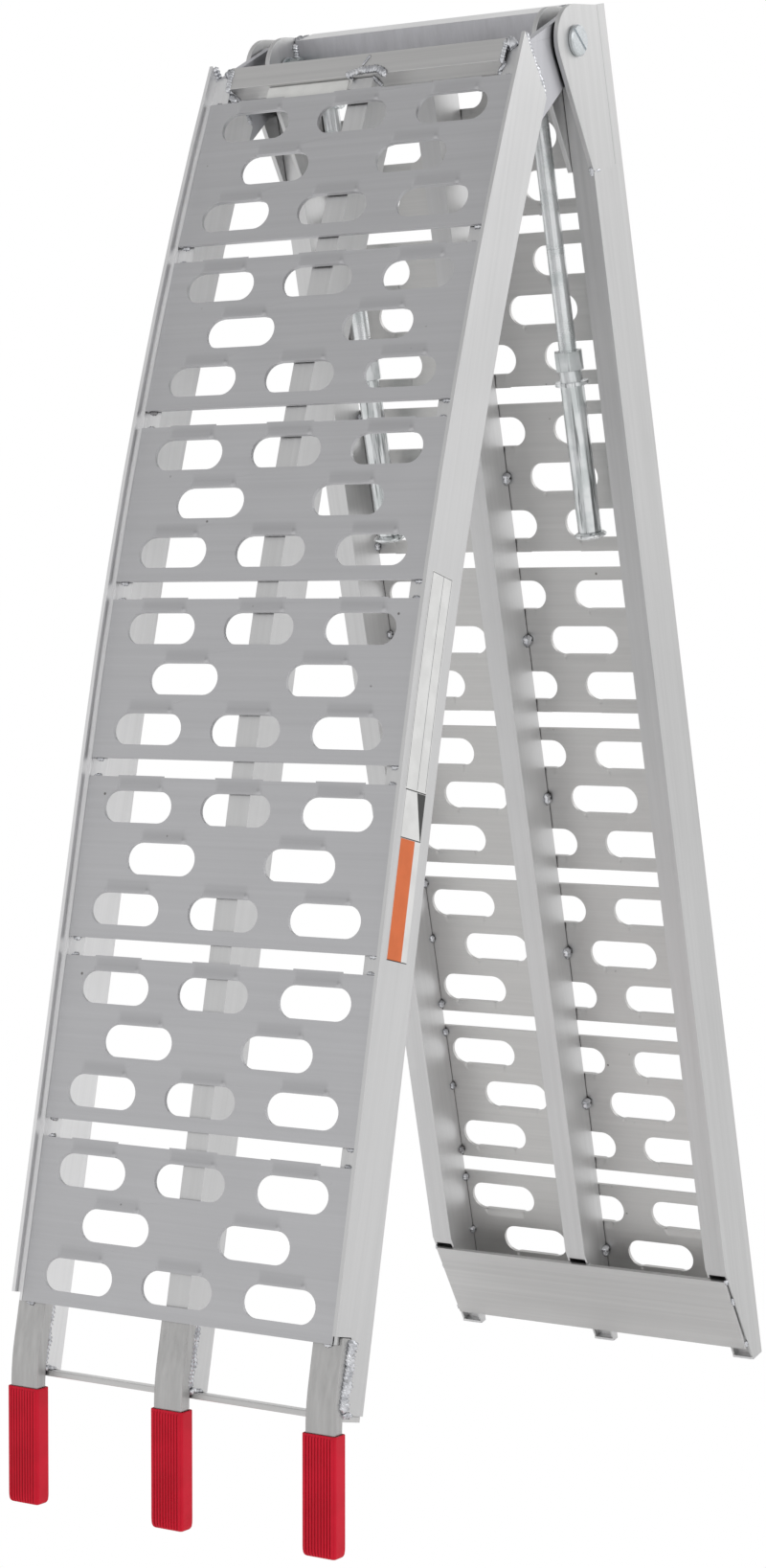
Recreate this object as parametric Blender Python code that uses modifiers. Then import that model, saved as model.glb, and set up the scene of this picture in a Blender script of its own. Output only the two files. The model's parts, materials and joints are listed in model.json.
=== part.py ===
"""Folding loading ramp: two ladder-shaped halves hinged at the top, standing as a tall letter A.

The upper half (curved rails, prongs with rubber sleeves) leans towards -Y. The lower half
(straight rails, bevelled foot plate, two support legs) leans towards +Y. X runs across the ramp.
"""
import math

import bmesh
import bpy
from mathutils import Matrix, Vector

# Cross-section, shared by both halves. n is the height above the walking surface.
HALF_WIDTH = 0.145
RAIL_WIDTH = 0.019
RAIL_WALL = 0.002
RAIL_TOP = -0.0033
RAIL_BOTTOM = -0.040
CURB_HEIGHT = 0.006
CURB_WIDTH = 0.003
GAP = 0.0003

# Tread plates. t runs down each half from its hinge end.
TREAD_PITCH = 0.136
TREAD_LENGTH = 0.122
TREAD_WIDTH = 0.278
TREAD_THICKNESS = 0.003
SLOT_LENGTH = 0.063
SLOT_WIDTH = 0.024
SLOT_ROW_SPACING = 0.0385
SLOT_WIDE_PITCH = 0.090
SLOT_NARROW_PITCH = 0.125
SLOT_ARC_STEPS = 6

# Lower half: straight, leaning back from the hinge.
LOWER_LEAN = math.radians(11.86)
LOWER_LENGTH = 1.130
LOWER_FIRST_TREAD = 0.034
LOWER_TREADS = 8
TIP_THICKNESS = 0.010
BEVEL_START = 1.036
FOOT_PLATE_INSET_TOP = 0.010
FOOT_PLATE_INSET_TIP = 0.014
FOOT_PLATE_THICKNESS = 0.003
FOOT_PLATE_WIDTH = 0.286
LOWER_CROSSBAR_DEPTH = 0.030
LOWER_CROSSBAR_BOTTOM = -0.0295
POCKET_LENGTH = 0.057

# Upper half: a long arc below the hinge, then straight.
UPPER_LEAN = math.radians(24.67)
UPPER_TURN = math.radians(10.27)
UPPER_ARC = 0.551
ARC_STEPS = 8
UPPER_LENGTH = 1.018
UPPER_FIRST_TREAD = 0.032
UPPER_TREADS = 7
MITRE_SLOPE = 0.66
UPPER_CROSSBAR_HEIGHT = 0.019
UPPER_CROSSBAR_DEPTH = 0.018
NOTCH_START = 0.964
TIP_BAR_THICKNESS = 0.0042
TIP_BAR_TOP = -0.0170
TIP_BAR_INSET = 0.002

# Hinge. The pin lies at these places in the frames of the two halves.
PIN_T_LOWER = 0.0232
PIN_N_LOWER = -0.0432
PIN_T_UPPER = -0.0317
PIN_N_UPPER = -0.0620
PIN_RADIUS = 0.006
PIN_CLEARANCE = 0.0003
CHEEK_RADIUS = 0.0275
CHEEK_THICKNESS = 0.004
CHEEK_END = 0.122
EAR_RADIUS = 0.021
EAR_THICKNESS = 0.006
EAR_INSET = 0.0055
EAR_HEEL = 0.059
BOLT_HEAD_RADIUS = 0.012
BOLT_HEAD_HEIGHT = 0.0035
BOLT_HEAD_ROUND = 0.0012
BOLT_TAIL = 0.003
DRIVER_SLOT = (0.03, 0.0024, 0.0024)
DRIVER_SLOT_ANGLE = math.radians(50)
NUT_RADIUS = 0.011
NUT_HEIGHT = 0.010
WASHER_RADIUS = 0.012
WASHER_THICKNESS = 0.0016
SPACER_RADIUS = 0.011

# Prongs and their rubber sleeves.
PRONG_WIDTH = 0.025
PRONG_THICKNESS = 0.010
PRONG_LEAN = math.radians(2.35)
PRONG_BEND_START = 0.998
PRONG_BEND = 0.035
PRONG_BEND_STEPS = 5
SLEEVE_WIDTH = 0.0286
SLEEVE_THICKNESS = 0.0132
SLEEVE_LENGTH = 0.0865
SLEEVE_FLOOR = 0.004
SLEEVE_RIBS = 10
RIB_RADIUS = 0.0007

# Support legs, stowed inside the lower half's depth.
LEG_X = 0.096
LEG_PIVOT_T = 0.047
LEG_N = -0.029
ROD_RADIUS = 0.007
ROD_END_T = 0.385
LEG_TUBE_RADIUS = 0.0095
LEG_TUBE_START = 0.288
LEG_TUBE_END = 0.406
LEG_FOOT_RADIUS = 0.013
LEG_FOOT_END = 0.412
LOCK_NUT_START = 0.261
LOCK_NUT_HEIGHT = 0.015
LOCK_NUT_RADIUS = 0.0125
ROD_REACH = 0.0075
LEG_COLLAR_RADIUS = 0.0090
LEG_FLANGE_RADIUS = 0.0135
LEG_FLANGE_THICKNESS = 0.003
LEG_TUBE_FLOOR = 0.003
LEG_PIN_RADIUS = 0.004
LEG_PIN_HEAD_RADIUS = 0.007
LEG_PIN_HEAD_HEIGHT = 0.0016
LEG_PIN_REACH = 0.0129
LUG_THICKNESS = 0.003
LUG_RADIUS = 0.010

ROUND_SIDES = 24

ALUMINIUM = ("aluminium", (0.62, 0.62, 0.63), 0.42, 1.0)
WALKING_ALUMINIUM = ("walking_aluminium", (0.48, 0.48, 0.49), 0.5, 1.0)
ZINC = ("zinc_steel", (0.66, 0.69, 0.71), 0.28, 1.0)
RED_RUBBER = ("red_rubber", (0.62, 0.02, 0.05), 0.55, 0.0)
NYLON = ("white_nylon", (0.8, 0.8, 0.78), 0.5, 0.0)


# ---------------------------------------------------------------- frames of the two halves

def lower_direction():
    return Vector((math.sin(LOWER_LEAN), -math.cos(LOWER_LEAN)))


def lower_normal():
    return Vector((math.cos(LOWER_LEAN), math.sin(LOWER_LEAN)))


def upper_normal(lean):
    return Vector((-math.cos(lean), math.sin(lean)))


def upper_offset(t):
    """Offset along the upper half's walking surface from its hinge end, and the lean there."""
    curve = UPPER_TURN / UPPER_ARC
    arc = min(max(t, 0.0), UPPER_ARC)
    lean = UPPER_LEAN - curve * arc
    y = -(math.cos(lean) - math.cos(UPPER_LEAN)) / curve
    z = -(math.sin(UPPER_LEAN) - math.sin(lean)) / curve
    beyond = t - arc
    y -= beyond * math.sin(lean)
    z -= beyond * math.cos(lean)
    return Vector((y, z)), lean


def pin_height():
    """The height that puts the lower half's tip on the ground."""
    tip = (LOWER_LENGTH - PIN_T_LOWER) * lower_direction() + (-TIP_THICKNESS - PIN_N_LOWER) * lower_normal()
    return -tip.y


def upper_end_from_pin():
    direction = Vector((-math.sin(UPPER_LEAN), -math.cos(UPPER_LEAN)))
    return -PIN_T_UPPER * direction - PIN_N_UPPER * upper_normal(UPPER_LEAN)


def prong_path():
    """Middle line of a prong below the rail, as steps of (place from the upper hinge end, lean)."""
    offset, lean = upper_offset(PRONG_BEND_START)
    middle = offset + (RAIL_TOP - GAP - PRONG_THICKNESS / 2) * upper_normal(lean)
    path = [(middle, lean)]
    run = PRONG_BEND / PRONG_BEND_STEPS
    for step in range(PRONG_BEND_STEPS):
        between = lean + (PRONG_LEAN - lean) * (step + 0.5) / PRONG_BEND_STEPS
        after = lean + (PRONG_LEAN - lean) * (step + 1) / PRONG_BEND_STEPS
        middle = middle + run * Vector((-math.sin(between), -math.cos(between)))
        path.append((middle, after))
    return path


def prong_ground():
    """Where a prong's middle line meets the ground, from the pin."""
    last = prong_path()[-1][0] + upper_end_from_pin()
    drop = last.y + pin_height()
    return last.x - drop * math.tan(PRONG_LEAN)


def pin_depth():
    """The Y that centres the whole ramp on the origin."""
    front = prong_ground() - (SLEEVE_THICKNESS / 2 + RIB_RADIUS) / math.cos(PRONG_LEAN)
    tip = (LOWER_LENGTH - PIN_T_LOWER) * lower_direction() + (CURB_HEIGHT - PIN_N_LOWER) * lower_normal()
    return -(front + tip.x) / 2


PIN = Vector((pin_depth(), pin_height()))
LOWER_END = PIN - PIN_T_LOWER * lower_direction() - PIN_N_LOWER * lower_normal()
UPPER_END = PIN + upper_end_from_pin()


def lower_yz(t, n):
    return LOWER_END + t * lower_direction() + n * lower_normal()


def upper_yz(t, n):
    offset, lean = upper_offset(t)
    return UPPER_END + offset + n * upper_normal(lean)


def lower_matrix(x, t, n):
    """Axes: X across, Y down the lower half, Z out of its walking surface."""
    d = lower_direction()
    u = lower_normal()
    place = lower_yz(t, n)
    columns = (Vector((1, 0, 0)), Vector((0, d.x, d.y)), Vector((0, u.x, u.y)))
    return Matrix.Translation((x, place.x, place.y)) @ Matrix(columns).transposed().to_4x4()


def upper_matrix(x, t, n):
    """Axes: -X across, Y down the upper half, Z out of its walking surface."""
    _, lean = upper_offset(t)
    u = upper_normal(lean)
    place = upper_yz(t, n)
    columns = (Vector((-1, 0, 0)), Vector((0, -math.sin(lean), -math.cos(lean))), Vector((0, u.x, u.y)))
    return Matrix.Translation((x, place.x, place.y)) @ Matrix(columns).transposed().to_4x4()


def across_matrix(x, y=0.0, z=0.0):
    """Axes: Y and Z of the world in the outline's plane, X out of it."""
    columns = (Vector((0, 1, 0)), Vector((0, 0, 1)), Vector((1, 0, 0)))
    return Matrix.Translation((x, y, z)) @ Matrix(columns).transposed().to_4x4()


def prong_matrix(x):
    """Axes: X across, Z up along a prong from where its middle line meets the ground."""
    return Matrix.Translation((x, PIN.x + prong_ground(), 0)) @ Matrix.Rotation(-PRONG_LEAN, 4, "X")


# ---------------------------------------------------------------- building helpers

def clear_scene():
    for thing in list(bpy.data.objects):
        bpy.data.objects.remove(thing, do_unlink=True)


def make_material(spec):
    name, colour, roughness, metallic = spec
    material = bpy.data.materials.get(name)
    if material is None:
        material = bpy.data.materials.new(name)
        material.use_nodes = True
        shader = material.node_tree.nodes["Principled BSDF"]
        shader.inputs["Base Color"].default_value = (*colour, 1.0)
        shader.inputs["Roughness"].default_value = roughness
        shader.inputs["Metallic"].default_value = metallic
        material.diffuse_color = (*colour, 1.0)
    return material


def add_object(name, mesh, matrix, collection):
    thing = bpy.data.objects.new(name, mesh)
    collection.objects.link(thing)
    thing.matrix_world = matrix
    return thing


def flat_solid(name, outlines, thickness, matrix, collection):
    """A plate: closed outlines, the first one outside and the rest holes, with a thickness about them."""
    curve = bpy.data.curves.new(name, "CURVE")
    curve.dimensions = "2D"
    curve.fill_mode = "BOTH"
    curve.extrude = thickness / 2
    for outline in outlines:
        spline = curve.splines.new("POLY")
        spline.points.add(len(outline) - 1)
        for point, place in zip(spline.points, outline):
            point.co = (place[0], place[1], 0.0, 1.0)
        spline.use_cyclic_u = True
    flat = add_object(name + "_outline", curve, matrix, collection)
    bpy.context.view_layer.update()
    graph = bpy.context.evaluated_depsgraph_get()
    mesh = bpy.data.meshes.new_from_object(flat.evaluated_get(graph))
    bpy.data.objects.remove(flat, do_unlink=True)
    bpy.data.curves.remove(curve)
    work = bmesh.new()
    work.from_mesh(mesh)
    bmesh.ops.remove_doubles(work, verts=work.verts, dist=0.00001)
    bmesh.ops.recalc_face_normals(work, faces=work.faces)
    work.to_mesh(mesh)
    work.free()
    mesh.name = name
    return add_object(name, mesh, matrix, collection)


def box_solid(name, size, matrix, collection):
    mesh = bpy.data.meshes.new(name)
    work = bmesh.new()
    bmesh.ops.create_cube(work, size=1.0)
    bmesh.ops.scale(work, vec=size, verts=work.verts)
    work.to_mesh(mesh)
    work.free()
    return add_object(name, mesh, matrix, collection)


def turned_solid(name, profile, matrix, collection, steps=ROUND_SIDES, ring=False):
    """A turned piece about its own Z; its profile of (radius, height) points runs from top to bottom."""
    mesh = bpy.data.meshes.new(name)
    edges = [(index, index + 1) for index in range(len(profile) - 1)]
    if ring:
        edges.append((len(profile) - 1, 0))
    mesh.from_pydata([(radius, 0.0, height) for radius, height in profile], edges, [])
    turned = add_object(name, mesh, matrix, collection)
    screw = turned.modifiers.new("turn", "SCREW")
    screw.steps = steps
    screw.render_steps = steps
    screw.use_merge_vertices = True
    screw.merge_threshold = 0.00001
    screw.use_smooth_shade = False
    return turned


def round_bar(name, radius, bottom, top, matrix, collection, steps=ROUND_SIDES):
    profile = [(0.0, top), (radius, top), (radius, bottom), (0.0, bottom)]
    return turned_solid(name, profile, matrix, collection, steps)


def headed_pin(name, head, radius, length, matrix, collection, steps=ROUND_SIDES):
    """A pin with a round head that stands on its frame's origin and a shank below it."""
    head_radius, height, rounding = head
    profile = [(0.0, height), (head_radius - rounding, height), (head_radius, height - rounding),
               (head_radius, 0.0), (radius, 0.0), (radius, -length), (0.0, -length)]
    return turned_solid(name, profile, matrix, collection, steps)


def turned_ring(name, outer, inner, thickness, matrix, collection):
    """A washer, shim or spacer about its own Z, standing on its origin."""
    profile = [(inner, thickness), (outer, thickness), (outer, 0.0), (inner, 0.0)]
    return turned_solid(name, profile, matrix, collection, ring=True)


def hex_nut(name, radius, inner, thickness, matrix, collection):
    lifted = matrix @ Matrix.Translation((0, 0, thickness / 2))
    outlines = [circle((0, 0), radius, 6), circle((0, 0), inner, ROUND_SIDES)]
    return flat_solid(name, outlines, thickness, lifted, collection)


def combine(target, tool, operation, solver):
    """Cut or join with another solid, keep the result as the target's mesh and drop the tool."""
    modifier = target.modifiers.new(operation.lower(), "BOOLEAN")
    modifier.operation = operation
    modifier.solver = solver
    modifier.object = tool
    bpy.context.view_layer.update()
    graph = bpy.context.evaluated_depsgraph_get()
    mesh = bpy.data.meshes.new_from_object(target.evaluated_get(graph))
    target.modifiers.clear()
    old = target.data
    target.data = mesh
    bpy.data.meshes.remove(old)
    mesh.name = target.name
    bpy.data.objects.remove(tool, do_unlink=True)


def cut(target, tool, solver="EXACT"):
    combine(target, tool, "DIFFERENCE", solver)


def paint(thing, spec):
    thing.data.materials.clear()
    thing.data.materials.append(make_material(spec))


def sides():
    return (("left", -1), ("right", 1))


def rail_places():
    outer = HALF_WIDTH - RAIL_WIDTH / 2
    return (("left", -outer), ("centre", 0.0), ("right", outer))


# ---------------------------------------------------------------- outlines

def rectangle(x0, y0, x1, y1):
    return [(x0, y0), (x1, y0), (x1, y1), (x0, y1)]


def arc(centre, radius, start, end, steps):
    points = []
    for step in range(steps + 1):
        angle = start + (end - start) * step / steps
        points.append((centre[0] + radius * math.cos(angle), centre[1] + radius * math.sin(angle)))
    return points


def circle(centre, radius, steps=ROUND_SIDES):
    return arc(centre, radius, 0.0, 2 * math.pi * (steps - 1) / steps, steps - 1)


def slot_outline(x, t):
    half = (SLOT_LENGTH - SLOT_WIDTH) / 2
    radius = SLOT_WIDTH / 2
    right = arc((x + half, t), radius, -math.pi / 2, math.pi / 2, SLOT_ARC_STEPS)
    left = arc((x - half, t), radius, math.pi / 2, 3 * math.pi / 2, SLOT_ARC_STEPS)
    return right + left


def tangent_angle(point, centre, radius, turn):
    """Direction from the centre to where a line from the point touches the circle."""
    away = Vector(point) - Vector(centre)
    return math.atan2(away.y, away.x) + turn * math.acos(radius / away.length)


def lug_outline(corners, centre, radius, turn, steps):
    """Corners closed by a round end about a centre, met by tangents from the last and first corner."""
    start = tangent_angle(corners[-1], centre, radius, turn)
    end = tangent_angle(corners[0], centre, radius, -turn)
    while turn * (end - start) < 0:
        end += turn * 2 * math.pi
    return [tuple(corner) for corner in corners] + arc(centre, radius, start, end, steps)


def upper_stations(start, end):
    inner = [UPPER_ARC * step / ARC_STEPS for step in range(ARC_STEPS + 1)]
    return [start] + [t for t in inner if start + 0.002 < t < end - 0.002] + [end]


def upper_band(n_low, n_high, start, end, mitred):
    """Side outline of a strip that follows the upper half between two depths."""
    first_high = start + (CURB_HEIGHT - n_high) * MITRE_SLOPE * mitred
    first_low = start + (CURB_HEIGHT - n_low) * MITRE_SLOPE * mitred
    high = [upper_yz(t, n_high) for t in upper_stations(first_high, end)]
    low = [upper_yz(t, n_low) for t in upper_stations(first_low, end)]
    return high + low[::-1]


# ---------------------------------------------------------------- treads

def slot_rows():
    rows = []
    for row in (-1, 0, 1):
        if row == 0:
            places = (-SLOT_NARROW_PITCH / 2, SLOT_NARROW_PITCH / 2)
        else:
            places = (-SLOT_WIDE_PITCH, 0.0, SLOT_WIDE_PITCH)
        rows += [(x, row * SLOT_ROW_SPACING) for x in places]
    return rows


def make_tread(name, matrix, collection):
    half_x = TREAD_WIDTH / 2
    half_t = TREAD_LENGTH / 2
    outlines = [rectangle(-half_x, -half_t, half_x, half_t)]
    outlines += [slot_outline(x, t) for x, t in slot_rows()]
    tread = flat_solid(name, outlines, TREAD_THICKNESS, matrix, collection)
    paint(tread, WALKING_ALUMINIUM)
    return tread


def make_treads(collection):
    middle = TREAD_LENGTH / 2
    for number in range(UPPER_TREADS):
        t = UPPER_FIRST_TREAD + number * TREAD_PITCH + middle
        make_tread(f"upper_tread_{number + 1}", upper_matrix(0, t, -TREAD_THICKNESS / 2), collection)
    for number in range(LOWER_TREADS):
        t = LOWER_FIRST_TREAD + number * TREAD_PITCH + middle
        make_tread(f"lower_tread_{number + 1}", lower_matrix(0, t, -TREAD_THICKNESS / 2), collection)


# ---------------------------------------------------------------- lower half

def lower_outline(points):
    return [lower_yz(t, n) for t, n in points]


def bevelled_outline(start, n_high, n_low):
    """Side outline of a lower strip whose underside runs up to the thin tip."""
    return lower_outline([(start, n_high), (LOWER_LENGTH, n_high), (LOWER_LENGTH, -TIP_THICKNESS),
                          (BEVEL_START, n_low), (start, n_low)])


def clear_tread_seat(rail, side, band, collection):
    """Lower an outer rail's top to the tread's level, leaving the curb along its outer edge."""
    width = RAIL_WIDTH
    x = side * (HALF_WIDTH - CURB_WIDTH - width / 2)
    cut(rail, flat_solid("tread_seat", [band], width, across_matrix(x), collection))


def make_lower_rail(name, x, collection):
    outer = x != 0.0
    start = 0.0 if outer else LOWER_CROSSBAR_DEPTH + GAP
    top = CURB_HEIGHT if outer else RAIL_TOP
    outline = bevelled_outline(start, top, RAIL_BOTTOM)
    rail = flat_solid(name, [outline], RAIL_WIDTH, across_matrix(x), collection)
    if outer:
        side = math.copysign(1, x)
        band = lower_outline(rectangle(-0.01, RAIL_TOP, LOWER_LENGTH + 0.01, CURB_HEIGHT + 0.01))
        clear_tread_seat(rail, side, band, collection)
    bore = lower_outline(rectangle(-0.05, RAIL_BOTTOM + RAIL_WALL, LOWER_LENGTH + 0.05, RAIL_TOP - RAIL_WALL))
    cut(rail, flat_solid("bore", [bore], RAIL_WIDTH - 2 * RAIL_WALL, across_matrix(x), collection))
    if outer:
        ceiling = RAIL_TOP - RAIL_WALL - GAP
        pocket = lower_outline(rectangle(-0.01, RAIL_BOTTOM - 0.01, POCKET_LENGTH, ceiling))
        cut(rail, flat_solid("pocket", [pocket], 2 * RAIL_WIDTH, across_matrix(x), collection))
        seat = lower_outline(rectangle(-0.02, RAIL_BOTTOM - 0.02, CHEEK_END + GAP, ceiling))
        seat_width = CHEEK_THICKNESS + GAP + 0.01
        seat_x = side * (HALF_WIDTH + 0.01 - seat_width / 2)
        cut(rail, flat_solid("seat", [seat], seat_width, across_matrix(seat_x), collection))
    paint(rail, ALUMINIUM)
    return rail


def cheek_outline():
    top = RAIL_TOP - RAIL_WALL - GAP
    corners = [(CHEEK_END, RAIL_BOTTOM), (CHEEK_END, top), (0.0, top)]
    outline = lug_outline(corners, (PIN_T_LOWER, PIN_N_LOWER), CHEEK_RADIUS, 1, 14)
    return [lower_yz(t, n) for t, n in outline]


def make_cheeks(collection):
    hole = circle(PIN, PIN_RADIUS + PIN_CLEARANCE, 16)
    inner_x = HALF_WIDTH - RAIL_WIDTH - GAP - CHEEK_THICKNESS / 2
    for word, side in sides():
        for place, x in (("outer", HALF_WIDTH - CHEEK_THICKNESS / 2), ("inner", inner_x)):
            name = f"hinge_cheek_{place}_{word}"
            cheek = flat_solid(name, [cheek_outline(), hole], CHEEK_THICKNESS,
                               across_matrix(side * x), collection)
            paint(cheek, ALUMINIUM)


def cheek_room():
    """Half the clear width between the two inner cheeks."""
    return HALF_WIDTH - RAIL_WIDTH - 2 * GAP - CHEEK_THICKNESS


def make_lower_crossbar(collection):
    outside = lower_outline(rectangle(0.0, LOWER_CROSSBAR_BOTTOM, LOWER_CROSSBAR_DEPTH, RAIL_TOP))
    bore = lower_outline(rectangle(RAIL_WALL, LOWER_CROSSBAR_BOTTOM + RAIL_WALL,
                                   LOWER_CROSSBAR_DEPTH - RAIL_WALL, RAIL_TOP - RAIL_WALL))
    bar = flat_solid("lower_hinge_crossbar", [outside, bore], 2 * cheek_room(), across_matrix(0), collection)
    paint(bar, ALUMINIUM)


def make_foot_plate(collection):
    start = lower_yz(BEVEL_START, RAIL_BOTTOM)
    end = lower_yz(LOWER_LENGTH, -TIP_THICKNESS)
    along = (end - start).normalized()
    out = Vector((along.y, -along.x))
    if out.dot(lower_normal()) > 0:
        out = -out
    near = start + along * FOOT_PLATE_INSET_TOP + out * GAP
    far = end - along * FOOT_PLATE_INSET_TIP + out * GAP
    outline = [near, far, far + out * FOOT_PLATE_THICKNESS, near + out * FOOT_PLATE_THICKNESS]
    plate = flat_solid("foot_plate", [outline], FOOT_PLATE_WIDTH, across_matrix(0), collection)
    paint(plate, ALUMINIUM)


# ---------------------------------------------------------------- upper half

def notch_outline():
    """Side outline of the space that a prong takes out of a rail's end."""
    below = PRONG_THICKNESS / 2 + GAP
    low = [upper_yz(NOTCH_START, RAIL_TOP - 2 * GAP - PRONG_THICKNESS)]
    low += [UPPER_END + middle - below * upper_normal(lean) for middle, lean in prong_path()]
    high = 0.03
    far = UPPER_END + prong_path()[-1][0] + high * upper_normal(PRONG_LEAN)
    return low + [far, upper_yz(NOTCH_START, high)]


def make_upper_rail(name, x, collection):
    outer = x != 0.0
    start = 0.0 if outer else UPPER_CROSSBAR_HEIGHT + GAP
    top = CURB_HEIGHT if outer else RAIL_TOP
    outline = upper_band(RAIL_BOTTOM, top, start, UPPER_LENGTH, 1 if outer else 0)
    rail = flat_solid(name, [outline], RAIL_WIDTH, across_matrix(x), collection)
    if outer:
        band = upper_band(RAIL_TOP, CURB_HEIGHT + 0.01, -0.01, UPPER_LENGTH + 0.01, 0)
        clear_tread_seat(rail, math.copysign(1, x), band, collection)
    bore = upper_band(RAIL_BOTTOM + RAIL_WALL, RAIL_TOP - RAIL_WALL, -0.05, UPPER_LENGTH + 0.05, 0)
    cut(rail, flat_solid("bore", [bore], RAIL_WIDTH - 2 * RAIL_WALL, across_matrix(x), collection))
    cut(rail, flat_solid("notch", [notch_outline()], 3 * RAIL_WIDTH, across_matrix(x), collection))
    paint(rail, ALUMINIUM)
    return rail


def ear_x():
    return HALF_WIDTH - EAR_INSET - EAR_THICKNESS / 2


def make_ears(collection):
    gap = 2 * GAP
    mitre_low = (CURB_HEIGHT - RAIL_BOTTOM) * MITRE_SLOPE
    corners = [(EAR_HEEL, RAIL_BOTTOM - gap), (mitre_low - 0.001, RAIL_BOTTOM - gap),
               ((CURB_HEIGHT - RAIL_TOP) * MITRE_SLOPE - gap, RAIL_TOP)]
    outline = lug_outline(corners, (PIN_T_UPPER, PIN_N_UPPER), EAR_RADIUS, 1, 14)
    points = [upper_yz(t, n) for t, n in outline]
    hole = circle(PIN, PIN_RADIUS + PIN_CLEARANCE, 16)
    for word, side in sides():
        ear = flat_solid(f"hinge_ear_{word}", [points, hole], EAR_THICKNESS,
                         across_matrix(side * ear_x()), collection)
        paint(ear, ALUMINIUM)


def make_upper_crossbar(collection):
    room = HALF_WIDTH - RAIL_WIDTH - GAP
    outside = [upper_yz(t, n) for t, n in rectangle(0.0, -UPPER_CROSSBAR_DEPTH, UPPER_CROSSBAR_HEIGHT, 0.0)]
    wall = RAIL_WALL
    bore = [upper_yz(t, n) for t, n in rectangle(wall, wall - UPPER_CROSSBAR_DEPTH,
                                                 UPPER_CROSSBAR_HEIGHT - wall, -wall)]
    bar = flat_solid("upper_hinge_crossbar", [outside, bore], 2 * room, across_matrix(0), collection)
    paint(bar, ALUMINIUM)


def make_tip_crossbar(collection):
    """The flat bar across the three rail ends, behind the prongs."""
    start = UPPER_LENGTH + GAP
    corners = rectangle(start, RAIL_BOTTOM, start + TIP_BAR_THICKNESS, TIP_BAR_TOP)
    outline = [upper_yz(t, n) for t, n in corners]
    width = 2 * (HALF_WIDTH - TIP_BAR_INSET)
    bar = flat_solid("upper_tip_crossbar", [outline], width, across_matrix(0), collection)
    paint(bar, ALUMINIUM)


def prong_places():
    outer = HALF_WIDTH - PRONG_WIDTH / 2
    return (("left", -outer), ("centre", 0.0), ("right", outer))


def prong_outline():
    """Side outline of a prong: along the rail, round a soft bend, then down to just above the ground."""
    half = PRONG_THICKNESS / 2
    front = [upper_yz(NOTCH_START + GAP, RAIL_TOP - GAP)]
    back = [upper_yz(NOTCH_START + GAP, RAIL_TOP - GAP - PRONG_THICKNESS)]
    for middle, lean in prong_path():
        front.append(UPPER_END + middle + half * upper_normal(lean))
        back.append(UPPER_END + middle - half * upper_normal(lean))
    for strip, side in ((front, -half), (back, half)):
        foot = prong_matrix(0) @ Vector((0, side, SLEEVE_FLOOR))
        strip.append(foot.yz)
    return front + back[::-1]


def make_prongs(collection):
    for word, x in prong_places():
        prong = flat_solid(f"prong_{word}", [prong_outline()], PRONG_WIDTH, across_matrix(x), collection)
        paint(prong, ALUMINIUM)


def sleeve_outline():
    """Cross-section of a sleeve, with shallow ribs along its front."""
    half_x = SLEEVE_WIDTH / 2
    half_y = SLEEVE_THICKNESS / 2
    pitch = SLEEVE_WIDTH / SLEEVE_RIBS
    foot = pitch * 0.42
    crest = pitch * 0.2
    front = []
    for rib in range(SLEEVE_RIBS):
        x = (rib + 0.5) * pitch - half_x
        front += [(x - foot, -half_y), (x - crest, -half_y - RIB_RADIUS),
                  (x + crest, -half_y - RIB_RADIUS), (x + foot, -half_y)]
    return [(-half_x, half_y), (-half_x, -half_y)] + front + [(half_x, -half_y), (half_x, half_y)]


def make_sleeves(collection):
    hollow = (PRONG_WIDTH + 2 * GAP, PRONG_THICKNESS + 2 * GAP, SLEEVE_LENGTH)
    spare = 0.003
    for word, x in prong_places():
        frame = prong_matrix(x)
        height = SLEEVE_LENGTH + spare
        middle = frame @ Matrix.Translation((0, 0, SLEEVE_LENGTH - height / 2))
        sleeve = flat_solid(f"prong_sleeve_{word}", [sleeve_outline()], height, middle, collection)
        hollow_place = frame @ Matrix.Translation((0, 0, SLEEVE_FLOOR - GAP + SLEEVE_LENGTH / 2))
        cut(sleeve, box_solid("hollow", hollow, hollow_place, collection), "MANIFOLD")
        ground = Matrix.Translation((x, frame.translation.y, -SLEEVE_LENGTH / 2))
        block = (2 * SLEEVE_WIDTH, 2 * SLEEVE_WIDTH, SLEEVE_LENGTH)
        cut(sleeve, box_solid("ground", block, ground, collection), "MANIFOLD")
        paint(sleeve, RED_RUBBER)


# ---------------------------------------------------------------- hinge bolts

def hinge_frame(x, side):
    """A frame on the pin's axis whose Z points outwards on the given side."""
    turn = Matrix.Rotation(side * math.pi / 2, 4, "Y")
    return Matrix.Translation((side * x, PIN.x, PIN.y)) @ turn


def make_bolt(word, side, tail_x, collection):
    start = HALF_WIDTH + GAP
    head = (BOLT_HEAD_RADIUS, BOLT_HEAD_HEIGHT, BOLT_HEAD_ROUND)
    length = start - tail_x
    bolt = headed_pin(f"hinge_bolt_{word}", head, PIN_RADIUS, length, hinge_frame(start, side), collection)
    turn = Matrix.Rotation(side * DRIVER_SLOT_ANGLE, 4, "Z")
    slot_frame = hinge_frame(start + BOLT_HEAD_HEIGHT, side) @ turn
    cut(bolt, box_solid("driver_slot", DRIVER_SLOT, slot_frame, collection))
    paint(bolt, ZINC)


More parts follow.
